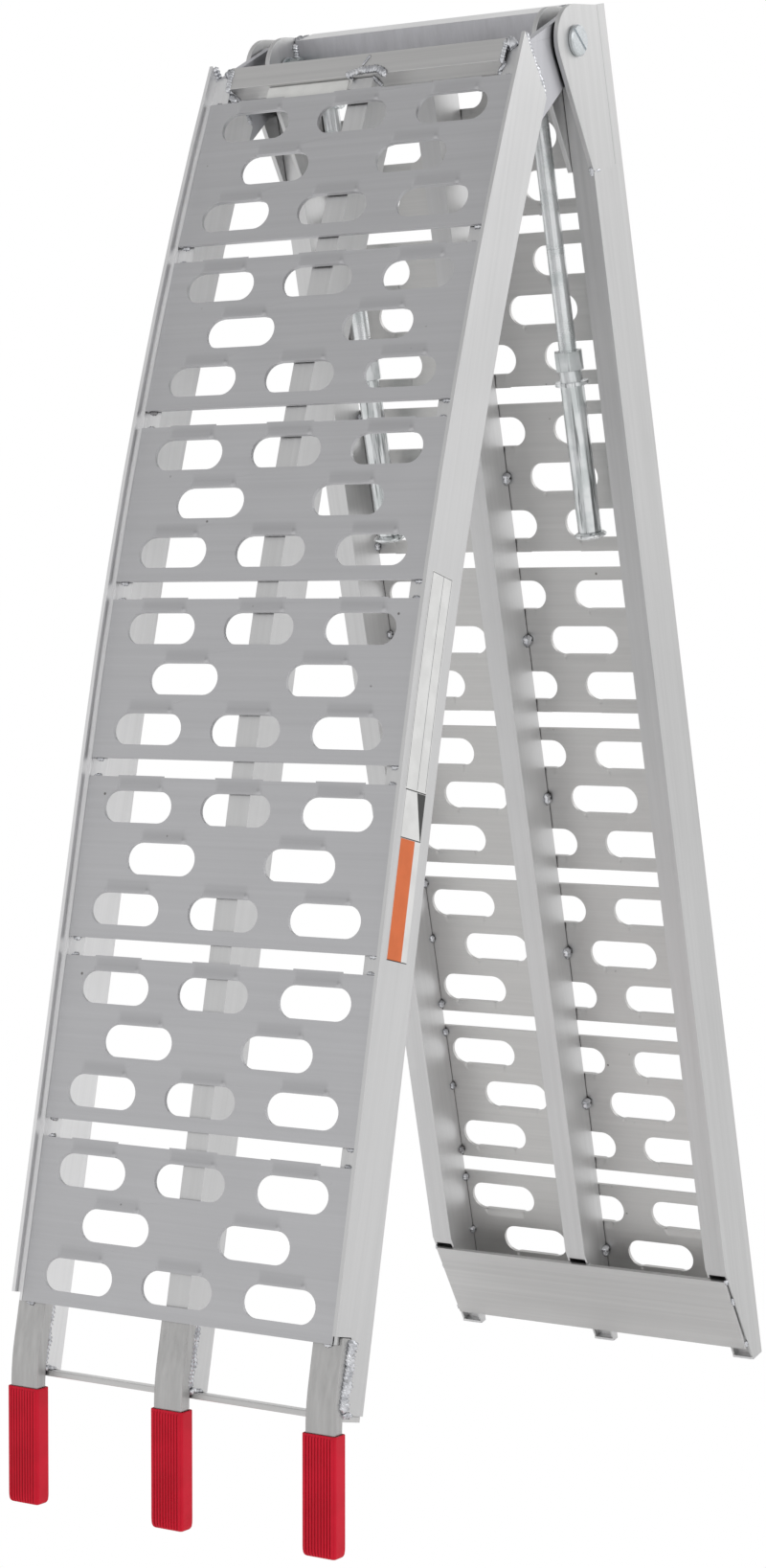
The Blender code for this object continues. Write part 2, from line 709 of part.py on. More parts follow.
def make_hinge_bolts(collection):
    clear = PIN_RADIUS + PIN_CLEARANCE
    washer_x = cheek_room() - GAP - WASHER_THICKNESS
    nut_x = washer_x - GAP - NUT_HEIGHT
    shim_x = HALF_WIDTH - EAR_INSET + GAP
    shim_thickness = EAR_INSET - CHEEK_THICKNESS - 2 * GAP
    spacer_x = HALF_WIDTH - RAIL_WIDTH
    spacer_length = ear_x() - EAR_THICKNESS / 2 - GAP - spacer_x
    rings = (("washer", WASHER_RADIUS, WASHER_THICKNESS, washer_x, ZINC),
             ("shim", WASHER_RADIUS, shim_thickness, shim_x, NYLON),
             ("spacer", SPACER_RADIUS, spacer_length, spacer_x, NYLON))
    for word, side in sides():
        make_bolt(word, side, nut_x - BOLT_TAIL, collection)
        frame = hinge_frame(nut_x, side)
        nut = hex_nut(f"hinge_nut_{word}", NUT_RADIUS, clear, NUT_HEIGHT, frame, collection)
        paint(nut, ZINC)
        for kind, radius, thickness, x, spec in rings:
            frame = hinge_frame(x, side)
            ring = turned_ring(f"hinge_{kind}_{word}", radius, clear, thickness, frame, collection)
            paint(ring, spec)


# ---------------------------------------------------------------- support legs

def leg_frame(side, t):
    """A frame on a leg's line whose Z points down the leg."""
    return lower_matrix(side * LEG_X, t, LEG_N) @ Matrix.Rotation(-math.pi / 2, 4, "X")


def pivot_frame(side, x):
    """A frame on a leg's pivot, x outwards from the leg, whose Z points outwards."""
    place = lower_yz(LEG_PIVOT_T, LEG_N)
    turn = Matrix.Rotation(side * math.pi / 2, 4, "Y")
    return Matrix.Translation((side * (LEG_X + x), place.x, place.y)) @ turn


def make_leg_bracket(word, side, collection):
    """A short channel on the crossbar whose two lugs hold the leg's pivot pin."""
    gap = ROD_RADIUS + 0.001
    width = 2 * (gap + LUG_THICKNESS)
    start = LOWER_CROSSBAR_DEPTH + GAP
    low = LEG_N - LUG_RADIUS
    high = LEG_N + LUG_RADIUS
    outline = lug_outline([(start, high), (start, low)], (LEG_PIVOT_T, LEG_N), LUG_RADIUS, 1, 8)
    points = [lower_yz(t, n) for t, n in outline]
    hole = circle(lower_yz(LEG_PIVOT_T, LEG_N), LEG_PIN_RADIUS + GAP, 12)
    across = across_matrix(side * LEG_X)
    bracket = flat_solid(f"support_bracket_{word}", [points, hole], width, across, collection)
    throat = rectangle(start + 0.004, low - 0.01, LEG_PIVOT_T + 2 * LUG_RADIUS, high + 0.01)
    middle = [lower_yz(t, n) for t, n in throat]
    cut(bracket, flat_solid("throat", [middle], 2 * gap, across, collection))
    paint(bracket, ZINC)


def make_leg_rod(word, side, collection):
    rod = round_bar(f"support_rod_{word}", ROD_RADIUS, -ROD_REACH, ROD_END_T - LEG_PIVOT_T,
                    leg_frame(side, LEG_PIVOT_T), collection)
    reach = 3 * ROD_RADIUS
    hole = round_bar("pin_hole", LEG_PIN_RADIUS + GAP, -reach, reach, pivot_frame(side, 0), collection, 12)
    cut(rod, hole)
    paint(rod, ZINC)
    head = (LEG_PIN_HEAD_RADIUS, LEG_PIN_HEAD_HEIGHT, LEG_PIN_HEAD_HEIGHT / 3)
    pin = headed_pin(f"support_pin_{word}", head, LEG_PIN_RADIUS, 2 * LEG_PIN_REACH,
                     pivot_frame(side, LEG_PIN_REACH), collection, 12)
    paint(pin, ZINC)


def make_leg_end(word, side, collection):
    """The lock nut, and the tube with its flange and foot, which screw along the rod."""
    clear = ROD_RADIUS + GAP
    nut = hex_nut(f"support_lock_nut_{word}", LOCK_NUT_RADIUS, clear, LOCK_NUT_HEIGHT,
                  leg_frame(side, LOCK_NUT_START), collection)
    paint(nut, ZINC)
    end = LEG_TUBE_END - LEG_TUBE_START
    collar = LEG_TUBE_START - LOCK_NUT_START - LOCK_NUT_HEIGHT - GAP
    flange = LEG_FLANGE_THICKNESS
    profile = [(0.0, end), (LEG_TUBE_RADIUS, end), (LEG_TUBE_RADIUS, 0.0), (LEG_FLANGE_RADIUS, 0.0),
               (LEG_FLANGE_RADIUS, -flange), (LEG_COLLAR_RADIUS, -flange), (LEG_COLLAR_RADIUS, -collar),
               (clear, -collar), (clear, end - LEG_TUBE_FLOOR), (0.0, end - LEG_TUBE_FLOOR)]
    tube = turned_solid(f"support_tube_{word}", profile, leg_frame(side, LEG_TUBE_START), collection)
    paint(tube, ZINC)
    height = LEG_FOOT_END - LEG_TUBE_END
    crown = LEG_FOOT_RADIUS * 0.77
    foot_profile = [(0.0, height), (crown, height * 0.9), (LEG_FOOT_RADIUS, height * 0.6),
                    (LEG_FOOT_RADIUS, height * 0.35), (crown, GAP), (0.0, GAP)]
    foot = turned_solid(f"support_foot_{word}", foot_profile, leg_frame(side, LEG_TUBE_END), collection)
    paint(foot, ZINC)


def hang_upper_half(collection):
    """Parent every piece of the upper half to an empty on the hinge's axis."""
    axis = bpy.data.objects.new("fold_axis", None)
    axis.empty_display_size = 0.05
    axis.location = (0, PIN.x, PIN.y)
    collection.objects.link(axis)
    bpy.context.view_layer.update()
    for thing in collection.objects:
        if thing.name.startswith(("upper_", "prong_", "hinge_ear_")):
            thing.parent = axis
            thing.matrix_parent_inverse = axis.matrix_world.inverted()


def make_ramp():
    clear_scene()
    collection = bpy.data.collections.new("folding_loading_ramp")
    bpy.context.scene.collection.children.link(collection)
    for word, x in rail_places():
        make_lower_rail(f"lower_rail_{word}", x, collection)
        make_upper_rail(f"upper_rail_{word}", x, collection)
    make_treads(collection)
    make_cheeks(collection)
    make_lower_crossbar(collection)
    make_foot_plate(collection)
    make_ears(collection)
    make_upper_crossbar(collection)
    make_tip_crossbar(collection)
    make_prongs(collection)
    make_sleeves(collection)
    make_hinge_bolts(collection)
    for word, side in sides():
        make_leg_bracket(word, side, collection)
        make_leg_rod(word, side, collection)
        make_leg_end(word, side, collection)
    hang_upper_half(collection)


make_ramp()
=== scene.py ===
import json
import math
import random

import bmesh
import bpy
from mathutils import Matrix, Vector, noise


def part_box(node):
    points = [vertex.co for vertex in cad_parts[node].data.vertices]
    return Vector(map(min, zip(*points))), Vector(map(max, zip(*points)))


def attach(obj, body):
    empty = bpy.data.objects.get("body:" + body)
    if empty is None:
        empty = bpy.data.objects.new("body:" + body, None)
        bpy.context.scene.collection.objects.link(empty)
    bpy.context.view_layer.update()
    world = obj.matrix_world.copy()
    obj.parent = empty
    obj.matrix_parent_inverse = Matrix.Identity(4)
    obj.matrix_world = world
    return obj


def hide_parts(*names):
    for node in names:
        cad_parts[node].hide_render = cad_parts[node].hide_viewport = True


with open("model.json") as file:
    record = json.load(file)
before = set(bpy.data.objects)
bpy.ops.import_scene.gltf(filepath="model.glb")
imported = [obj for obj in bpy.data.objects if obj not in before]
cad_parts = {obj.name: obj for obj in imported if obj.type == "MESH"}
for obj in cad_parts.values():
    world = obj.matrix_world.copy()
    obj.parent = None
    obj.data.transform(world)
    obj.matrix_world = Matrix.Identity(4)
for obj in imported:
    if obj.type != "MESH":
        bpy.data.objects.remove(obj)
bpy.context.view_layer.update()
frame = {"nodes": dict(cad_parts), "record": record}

# Camera, placed from the hinge's pin; the focal length is a multiple of the frame's height. Lights, floor.
FOCAL = 2.1515333
CAMERA_FROM_PIN = Vector((1.44981, -2.24866, -0.35023))
SENSOR_HEIGHT = 24.0
YAW = math.radians(33.637)
PITCH = math.radians(-4.666)
ROLL = math.radians(-1.288)
LIGHT_POWER = 9
FLOOR_SIZE = 30.0

# Both halves are measured along x across the ramp, t down from the hinge, n out of the walking surface.
SIDES = ((-1, "left"), (1, "right"))
HALF_WIDTH = 0.145
RAIL_WIDTH = 0.019
RAIL_TOP = -0.0033
RAIL_BOTTOM = -0.040
RAIL_UNDERSIDE = RAIL_BOTTOM - 0.0005
CURB_HEIGHT = 0.006
PIN_T_LOWER, PIN_N_LOWER = 0.0232, -0.0432
PIN_T_UPPER, PIN_N_UPPER = -0.0317, -0.0620
UPPER_LEAN = math.radians(24.67)
UPPER_TURN = math.radians(10.27)
UPPER_ARC = 0.551
MITRE_SLOPE = 0.66
CROSSBAR_EDGE = 0.0195
CROSSBAR_END = 0.1212
CENTRE_RAIL_SIDE = 0.0098
SHOULDER_SPANS = {"upper": (0.032, 0.970), "lower": (0.032, 1.108)}
SHOULDER_STEPS = {"upper": 40, "lower": 1}
RAIL_TIP_SPAN = (1.1272, 1.1294)
RAIL_TIP_RISE = (-0.0036, -0.0118)
CHEEK_SEAM_SPAN = (0.1212, 0.1232)
CHEEK_SEAM_RISE = (-0.0385, 0.0050)
PALE_STRIP_SPAN = (0.0197, 0.0318)
PALE_STRIP_WIDTH = (-0.0885, -0.0130)
PALE_STRIP_RISE = (-0.0030, -0.0046)
CROWN_HALF_WIDTH = 0.1205
CROWN_RISE = (-0.0036, -0.0290)
CROWN_START = (-0.0028, -0.0003)
CROWN_FOOT = 0.0002
FOOT_PLATE_START = Vector((1.036, -0.040))
FOOT_PLATE_END = Vector((1.130, -0.010))
TREAD_PITCH = 0.136
TREAD_LENGTH = 0.122
TREAD_WIDTH = 0.278
TREAD_THICKNESS = 0.003
UPPER_FIRST_TREAD = 0.032
LOWER_FIRST_TREAD = 0.034
UPPER_TREADS = 7
LOWER_TREADS = 8
SLOT_LENGTH = 0.063
SLOT_WIDTH = 0.024
SLOT_END_STEPS = 14
SLOT_ROW_SPACING = 0.0385
SLOT_WIDE_PITCH = 0.090
SLOT_NARROW_PITCH = 0.125
LIP_HEIGHT = 0.0017
BURR_HEIGHT = 0.0010
BURR_RADIUS = 0.0014
BURR_SETBACK = 0.0022
LIP_RUN = 0.0115
LIP_FLANK = 0.0042
LIP_STEPS = 12
RECESS_DEPTH = 0.6 * LIP_HEIGHT
BEAD_SIDES = 9
RIPPLE_STEPS = 3.2
PRONG_WIDTH = 0.025
PRONG_THICKNESS = 0.010
PRONG_LEAN = math.radians(2.35)
SLEEVE_WIDTH = 0.0286
SLEEVE_THICKNESS = 0.0132
SLEEVE_LENGTH = 0.0865
SLEEVE_RIBS = 10
SLEEVE_RIB_HEIGHT = 0.0011
SLEEVE_CORNER = 0.0016
SLEEVE_WALL_GAP = 0.0004
EDGE_SEGMENTS = 2
EDGE_ANGLE = math.radians(32)
MERGE_DISTANCE = 0.00001
LEG_X = 0.096
LEG_N = -0.029
THREAD_START = 0.180
THREAD_END = 0.380
THREAD_PITCH = 0.00175
THREAD_CREST = 0.00715
THREAD_ROOT = 0.00702
THREAD_CORE = 0.0062
THREAD_SIDES = 28
LABEL_THICKNESS = 0.00012
LABEL_INK = 0.00008
LABEL_LINE = 0.0005


def joint(name):
    """The record's joint of this name."""
    return next(item for item in frame["record"]["behaviour"]["joints"] if item["name"] == name)


PIN = Vector(joint("fold")["pos_m"])
DOWN = Vector(joint("support_extend_left")["axis"]).normalized()
OUT = Vector((0.0, -DOWN.z, DOWN.y))
LOWER_END = PIN - PIN_T_LOWER * DOWN - PIN_N_LOWER * OUT


def upper_axes(t):
    """Directions down and out of the upper half's curve at t, and its lean from the vertical."""
    lean = UPPER_LEAN - UPPER_TURN / UPPER_ARC * min(max(t, 0.0), UPPER_ARC)
    down = Vector((0.0, -math.sin(lean), -math.cos(lean)))
    out = Vector((0.0, -math.cos(lean), math.sin(lean)))
    return down, out, lean


UPPER_END = PIN - PIN_T_UPPER * upper_axes(0)[0] - PIN_N_UPPER * upper_axes(0)[1]


def upper(x, t, n):
    """A point of the upper half: x across, t down its curve, n out of its walking surface."""
    curve = UPPER_TURN / UPPER_ARC
    _, out, lean = upper_axes(t)
    beyond = t - min(max(t, 0.0), UPPER_ARC)
    y = -(math.cos(lean) - math.cos(UPPER_LEAN)) / curve - beyond * math.sin(lean)
    z = -(math.sin(UPPER_LEAN) - math.sin(lean)) / curve - beyond * math.cos(lean)
    return UPPER_END + Vector((x, y, z)) + n * out


def lower(x, t, n):
    """A point of the straight lower half, in the same three measures."""
    return LOWER_END + Vector((x, 0, 0)) + t * DOWN + n * OUT


# ---------------------------------------------------------------- camera, light and floor

def make_camera():
    """The camera, looking down the ramp's front and its right side."""
    forward = Vector((-math.sin(YAW) * math.cos(PITCH), math.cos(YAW) * math.cos(PITCH), math.sin(PITCH)))
    right = Vector((math.cos(YAW), math.sin(YAW), 0.0))
    up = right.cross(forward)
    right_r = math.cos(ROLL) * right + math.sin(ROLL) * up
    up_r = -math.sin(ROLL) * right + math.cos(ROLL) * up
    data = bpy.data.cameras.new("camera")
    data.sensor_fit = "VERTICAL"
    data.sensor_height = SENSOR_HEIGHT
    data.lens = SENSOR_HEIGHT * FOCAL
    data.clip_end = 50.0
    camera = bpy.data.objects.new("camera", data)
    bpy.context.scene.collection.objects.link(camera)
    rotation = Matrix((right_r, up_r, -forward)).transposed().to_4x4()
    camera.matrix_world = Matrix.Translation(PIN + CAMERA_FROM_PIN) @ rotation
    bpy.context.scene.camera = camera


class Nodes:
    """Short calls for building a node tree."""

    def __init__(self, tree):
        self.tree = tree

    def add(self, kind, inputs=None, **settings):
        node = self.tree.nodes.new(kind)
        for key, value in settings.items():
            setattr(node, key, value)
        for key, value in (inputs or {}).items():
            socket = node.inputs[key]
            if isinstance(value, bpy.types.NodeSocket):
                self.tree.links.new(value, socket)
            else:
                socket.default_value = value
        return node

    def math(self, operation, a, b):
        return self.add("ShaderNodeMath", {0: a, 1: b}, operation=operation).outputs[0]

    def span(self, value, low, high, to_low, to_high, smooth=False):
        kind = "SMOOTHSTEP" if smooth else "LINEAR"
        inputs = {"Value": value, "From Min": low, "From Max": high, "To Min": to_low, "To Max": to_high}
        return self.add("ShaderNodeMapRange", inputs, interpolation_type=kind).outputs[0]

    def noise(self, vector, scale, detail=3.0, w=None, roughness=0.5):
        inputs = {"Vector": vector, "Scale": scale, "Detail": detail, "Roughness": roughness}
        if w is not None:
            inputs["W"] = w
        dimensions = "3D" if w is None else "4D"
        return self.add("ShaderNodeTexNoise", inputs, noise_dimensions=dimensions).outputs[0]

    def stretch(self, vector, scale, rotation=(0, 0, 0)):
        turned = self.add("ShaderNodeMapping", {"Vector": vector, "Rotation": rotation}, vector_type="POINT")
        return self.add("ShaderNodeMapping", {"Vector": turned.outputs[0], "Scale": scale}).outputs[0]

    def mix(self, factor, a, b, blend="MIX"):
        node = self.add("ShaderNodeMix", data_type="RGBA", blend_type=blend)
        for index, value in ((0, factor), (6, a), (7, b)):
            if isinstance(value, bpy.types.NodeSocket):
                self.tree.links.new(value, node.inputs[index])
            else:
                node.inputs[index].default_value = value
        return node.outputs[2]

    def place(self):
        return self.add("ShaderNodeTexCoord").outputs["Object"]

    def seed(self, spread):
        return self.math("MULTIPLY", self.add("ShaderNodeObjectInfo").outputs["Random"], spread)

    def drive(self, socket, value):
        self.tree.links.new(value, socket)

    def relief(self, shader, height, strength, distance):
        bump = self.add("ShaderNodeBump", {"Height": height, "Strength": strength, "Distance": distance})
        self.drive(shader.inputs["Normal"], bump.outputs[0])


def make_world():
    """Soft light that is brighter low down and behind, before a white backdrop."""
    world = bpy.data.worlds.new("studio")
    world.use_nodes = True
    tree = world.node_tree
    tree.nodes.clear()
    n = Nodes(tree)
    direction = n.add("ShaderNodeTexCoord").outputs["Generated"]
    split = n.add("ShaderNodeSeparateXYZ", {0: direction})
    high = n.span(split.outputs[2], 0.0, 1.0, 0.86, 0.38)
    level = n.math("ADD", high, n.span(split.outputs[1], -0.7, 0.8, 0.0, 0.10))
    grey = n.add("ShaderNodeCombineColor", {0: level, 1: level, 2: level})
    studio = n.add("ShaderNodeBackground", {"Color": grey.outputs[0], "Strength": 1.0})
    backdrop = n.add("ShaderNodeBackground", {"Color": (1, 1, 1, 1), "Strength": 1.0})
    seen = n.add("ShaderNodeLightPath").outputs["Is Camera Ray"]
    mix = n.add("ShaderNodeMixShader", {0: seen, 1: studio.outputs[0], 2: backdrop.outputs[0]})
    n.add("ShaderNodeOutputWorld", {0: mix.outputs[0]})
    bpy.context.scene.world = world


def make_light(name, place, target, size, power):
    """A soft rectangular light that faces its target."""
    data = bpy.data.lights.new(name, "AREA")
    data.shape = "RECTANGLE"
    data.size, data.size_y = size
    data.energy = power
    light = bpy.data.objects.new(name, data)
    light.location = place
    light.rotation_euler = (Vector(target) - Vector(place)).to_track_quat("-Z", "Y").to_euler()
    bpy.context.scene.collection.objects.link(light)


def make_studio():
    """Two soft lights over a plain pale floor."""
    make_world()
    make_light("key", (3.2, -1.0, 2.2), (0, 0, 0.6), (1.2, 2.2), LIGHT_POWER)
    make_light("rim", (1.2, 2.8, 2.4), (0, 0, 0.7), (1.6, 1.6), LIGHT_POWER)
    bpy.ops.mesh.primitive_plane_add(size=FLOOR_SIZE, location=(0, 0, -0.0005))
    floor = bpy.context.object
    floor.name = "floor"
    material, shader, n = new_material("pale_floor", 0.9, 0.0)
    shader.inputs["Base Color"].default_value = (0.86, 0.86, 0.86, 1)
    shader.inputs["Specular IOR Level"].default_value = 0.1
    shader.inputs["Emission Color"].default_value = (1, 1, 1, 1)
    shader.inputs["Emission Strength"].default_value = 0.26
    glow = n.add("ShaderNodeEmission", {"Strength": 1.0})
    seen = n.add("ShaderNodeLightPath").outputs["Is Camera Ray"]
    mix = n.add("ShaderNodeMixShader", {0: seen, 1: shader.outputs[0], 2: glow.outputs[0]})
    n.drive(n.tree.nodes["Material Output"].inputs[0], mix.outputs[0])
    floor.data.materials.append(material)
    bpy.context.scene.view_settings.view_transform = "Standard"


# ---------------------------------------------------------------- materials

def new_material(name, roughness, metallic):
    material = bpy.data.materials.new(name)
    material.use_nodes = True
    shader = material.node_tree.nodes["Principled BSDF"]
    shader.inputs["Metallic"].default_value = metallic
    shader.inputs["Roughness"].default_value = roughness
    return material, shader, Nodes(material.node_tree)


def metal(name, colour, roughness, grain, turn=(0, 0, 0), streak=0.0, cloud=0.0, specks=0.0, crease_shade_strength=0.72):
    """Milled metal: long lines along its grain, soft clouds, fine tooth, painted shade in creases, dark
    specks.
    """
    material, shader, n = new_material(name, roughness, 1.0)
    coord = n.place()
    seed = n.seed(37.0)
    lines = n.noise(n.stretch(coord, grain, turn), 1.0, 4.0, seed, 0.6)
    clouds = n.noise(coord, 9.0, 2.0, seed)
    fine = n.noise(coord, 900.0, 2.0, seed)
    light = n.math("ADD", n.span(lines, 0.25, 0.75, 1 - streak, 1 + streak * 0.6),
                   n.span(clouds, 0.25, 0.75, -cloud, cloud * 0.6))
    base = (*colour, 1.0)
    other = (*(c * 0.93 for c in colour), 1.0)
    paint = n.mix(n.span(clouds, 0.35, 0.7, 0.0, 1.0, True), base, other)
    grey = n.add("ShaderNodeCombineColor", {0: light, 1: light, 2: light}).outputs[0]
    paint = n.mix(1.0, paint, grey, "MULTIPLY")
    # Painted shade: where nearby parts occlude, the colour darkens towards near-black, as shade in creases
    # and between parts.
    crease = n.add("ShaderNodeAmbientOcclusion", {"Distance": 0.003}, samples=6).outputs["AO"]
    painted_crease_shade = n.span(crease, 0.30, 0.62, crease_shade_strength, 0.0, True)
    paint = n.mix(painted_crease_shade, paint, (0.10, 0.10, 0.10, 1.0))
    if specks:
        cells = n.add("ShaderNodeTexVoronoi", {"Vector": coord, "Scale": 55.0, "Randomness": 1.0})
        dots = n.span(cells.outputs["Distance"], 0.035, 0.075, 1.0, 0.0, True)
        rare = n.span(n.noise(coord, 31.0, 1.0, seed), 0.57, 0.62, 0.0, specks, True)
        paint = n.mix(n.math("MULTIPLY", dots, rare), paint, (0.10, 0.09, 0.08, 1.0))
    n.drive(shader.inputs["Base Color"], paint)
    rough = n.math("ADD", n.span(lines, 0.2, 0.8, roughness - 0.05, roughness + 0.06),
                   n.span(clouds, 0.3, 0.7, -0.03, 0.04))
    n.drive(shader.inputs["Roughness"], rough)
    height = n.math("ADD", n.math("MULTIPLY", lines, 0.7), n.math("MULTIPLY", fine, 0.5))
    n.relief(shader, height, 0.10, 0.0003)
    return material


def weld_metal():
    """Shiny bead metal with duller and sooty patches, and painted shade in its crevices."""
    material, shader, n = new_material("weld_metal", 0.3, 1.0)
    coord = n.place()
    patches = n.noise(coord, 160.0, 3.0)
    fine = n.noise(coord, 1400.0, 2.0)
    colour = n.mix(n.span(patches, 0.35, 0.65, 0.0, 1.0, True), (0.80, 0.81, 0.84, 1), (0.52, 0.53, 0.56, 1))
    soot = n.span(n.noise(coord, 75.0, 2.0), 0.60, 0.72, 0.0, 0.75, True)
    colour = n.mix(soot, colour, (0.16, 0.15, 0.15, 1))
    # Painted shade: the colour darkens to near-black where the bead meets the parts around it.
    painted_gap_shade = n.add("ShaderNodeAmbientOcclusion", {"Distance": 0.0016}, samples=6).outputs["AO"]
    colour = n.mix(n.span(painted_gap_shade, 0.40, 0.80, 0.85, 0.0), colour, (0.07, 0.07, 0.07, 1))
    n.drive(shader.inputs["Base Color"], colour)
    n.drive(shader.inputs["Roughness"], n.span(patches, 0.3, 0.7, 0.16, 0.34))
    n.relief(shader, n.math("ADD", patches, n.math("MULTIPLY", fine, 0.4)), 0.35, 0.0004)
    return material


def leg_zinc(name, dark, roughness, metallic):
    """Shiny plating with bright and dark streak marks along the leg; the dark ones are painted reflection.
    """
    material, shader, n = new_material(name, roughness, metallic)
    coord = n.place()
    seed = n.seed(19.0)
    painted_reflection_streaks = n.noise(n.stretch(coord, (300, 300, 14), LOWER_TURN), 1.0, 3.0, seed, 0.6)
    clouds = n.noise(coord, 55.0, 3.0, seed)
    colour = n.mix(n.span(clouds, 0.40, 0.62, 0.0, 1.0, True), (0.93, 0.95, 0.96, 1), (0.74, 0.78, 0.78, 1))
    # Painted reflection: dark streak bands mixed into the colour along the leg.
    colour = n.mix(n.span(painted_reflection_streaks, 0.53, 0.63, 0.0, dark, True), colour, (0.13, 0.14, 0.14, 1))
    n.drive(shader.inputs["Base Color"], colour)
    n.drive(shader.inputs["Roughness"], n.span(clouds, 0.3, 0.7, roughness - 0.04, roughness + 0.10))
    n.relief(shader, n.math("MULTIPLY", n.math("ADD", clouds, painted_reflection_streaks), dark), 0.25, 0.0005)
    return material


def zinc_metal():
    """Clouded bright plating of the hinge hardware."""
    material, shader, n = new_material("bright_zinc", 0.2, 1.0)
    coord = n.place()
    seed = n.seed(11.0)
    clouds = n.noise(coord, 26.0, 3.0, seed)
    fine = n.noise(coord, 700.0, 2.0, seed)
    colour = n.mix(n.span(clouds, 0.4, 0.62, 0.0, 1.0, True), (0.62, 0.65, 0.67, 1), (0.48, 0.52, 0.51, 1))
    n.drive(shader.inputs["Base Color"], colour)
    n.drive(shader.inputs["Roughness"], n.span(fine, 0.3, 0.7, 0.17, 0.30))
    n.relief(shader, n.math("ADD", clouds, n.math("MULTIPLY", fine, 0.3)), 0.12, 0.0004)
    return material


def rubber():
    """Red rubber, with painted shade in its grooves."""
    material, shader, n = new_material("red_rubber", 0.5, 0.0)
    coord = n.place()
    clouds = n.noise(coord, 40.0, 2.0)
    faded = n.span(clouds, 0.35, 0.65, 0.0, 1.0, True)
    colour = n.mix(faded, (0.66, 0.005, 0.026, 1), (0.74, 0.008, 0.034, 1))
    # Painted shade: the colour darkens in the grooves between the ribs.
    painted_groove_shade = n.add("ShaderNodeAmbientOcclusion", {"Distance": 0.0012}, samples=6).outputs["AO"]
    colour = n.mix(n.span(painted_groove_shade, 0.45, 0.85, 0.75, 0.0), colour, (0.22, 0.001, 0.006, 1))
    n.drive(shader.inputs["Base Color"], colour)
    n.drive(shader.inputs["Roughness"], n.span(clouds, 0.3, 0.7, 0.42, 0.52))
    shader.inputs["Specular IOR Level"].default_value = 0.22
    n.relief(shader, n.noise(coord, 1100.0, 2.0), 0.12, 0.0002)
    return material


def plastic(name, colour, roughness):
    """Moulded plastic or film with faint clouds."""
    material, shader, n = new_material(name, roughness, 0.0)
    coord = n.place()
    clouds = n.noise(coord, 60.0, 3.0)
    darker = tuple(c * 0.92 for c in colour)
    paint = n.mix(n.span(clouds, 0.35, 0.65, 0.0, 1.0, True), (*colour, 1.0), (*darker, 1.0))
    n.drive(shader.inputs["Base Color"], paint)
    n.drive(shader.inputs["Roughness"], n.span(clouds, 0.3, 0.7, roughness - 0.05, roughness + 0.05))
    n.relief(shader, n.noise(coord, 900.0, 2.0), 0.08, 0.0002)
    return material


LOWER_TURN = (math.atan2(-DOWN.y, -DOWN.z), 0, 0)
UPPER_MEAN_TURN = (math.radians(17.0), 0, 0)
FRAME_GREY = (0.73, 0.73, 0.732)

M_LOWER = metal("frame_aluminium_lower", FRAME_GREY, 0.40, (260, 260, 3.0), LOWER_TURN, 0.07, 0.05)
M_UPPER = metal("frame_aluminium_upper", FRAME_GREY, 0.40, (260, 260, 3.0), UPPER_MEAN_TURN, 0.07, 0.05)
# A lighter copy of the frame aluminium, without crease shade: painted highlight on the left upper rail, the
# lower crossbar's end, the rail tips and the upper half's left curb shoulders.
M_PAINTED_HIGHLIGHT = metal("frame_aluminium_left", (0.92, 0.92, 0.925), 0.34, (260, 260, 3.0), UPPER_MEAN_TURN,
                 0.07, 0.05, crease_shade_strength=0.0)
M_ACROSS = metal("frame_aluminium_across", (0.70, 0.695, 0.69), 0.40, (3.0, 260, 260),
                 streak=0.09, cloud=0.06)
M_CHEEK = metal("cheek_aluminium", (0.69, 0.69, 0.69), 0.42, (200, 200, 4.0), LOWER_TURN, 0.09, 0.12,
                crease_shade_strength=0.15)
# A darker, bluer copy of the aluminium for the inset ears and the lower hinge crossbar: painted shade.
M_EAR_PAINTED_SHADE = metal("ear_aluminium", (0.60, 0.60, 0.63), 0.36, (200, 200, 5.0), streak=0.10, cloud=0.12)
M_PRONG = metal("prong_aluminium", (0.56, 0.555, 0.55), 0.30, (240, 240, 5.0), streak=0.16, cloud=0.16)
M_TREAD_UPPER = metal("tread_aluminium_upper", (0.625, 0.625, 0.64), 0.46, (4.0, 300, 300),
                      streak=0.07, cloud=0.08, specks=0.8)
# The lower treads' copy is lighter and warmer than the upper treads' copy of the same aluminium: painted
# light on the lower treads' undersides.
M_TREAD_LOWER_PAINTED_LIGHT = metal("tread_aluminium_lower", (0.69, 0.685, 0.675), 0.44, (4.0, 300, 300),
                      streak=0.08, cloud=0.08, specks=0.8)
M_WELD = weld_metal()
M_ZINC = zinc_metal()
M_LEG = leg_zinc("leg_zinc", 0.80, 0.16, 0.62)
M_ROD = leg_zinc("rod_zinc", 0.08, 0.24, 0.75)
M_LOCK_NUT = leg_zinc("lock_nut_zinc", 0.60, 0.10, 0.50)
M_RUBBER = rubber()
M_NYLON = plastic("white_nylon", (0.80, 0.80, 0.78), 0.5)


def soften(thing, width, weld=False):
    """Round the edges with modifiers, and keep the flat faces flat."""
    mesh = thing.data
    if "custom_normal" in mesh.attributes:
        mesh.attributes.remove(mesh.attributes["custom_normal"])
    mesh.shade_smooth()
    if weld:
        merge = thing.modifiers.new("merge", "WELD")
        merge.merge_threshold = MERGE_DISTANCE
    bevel = thing.modifiers.new("edges", "BEVEL")
    bevel.width = width
    bevel.segments = EDGE_SEGMENTS
    bevel.limit_method = "ANGLE"
    bevel.angle_limit = EDGE_ANGLE
    bevel.miter_outer = "MITER_ARC"
    keep_flat(thing)


def keep_flat(thing):
    """Weight the normals by face area."""
    even = thing.modifiers.new("normals", "WEIGHTED_NORMAL")
    even.keep_sharp = True


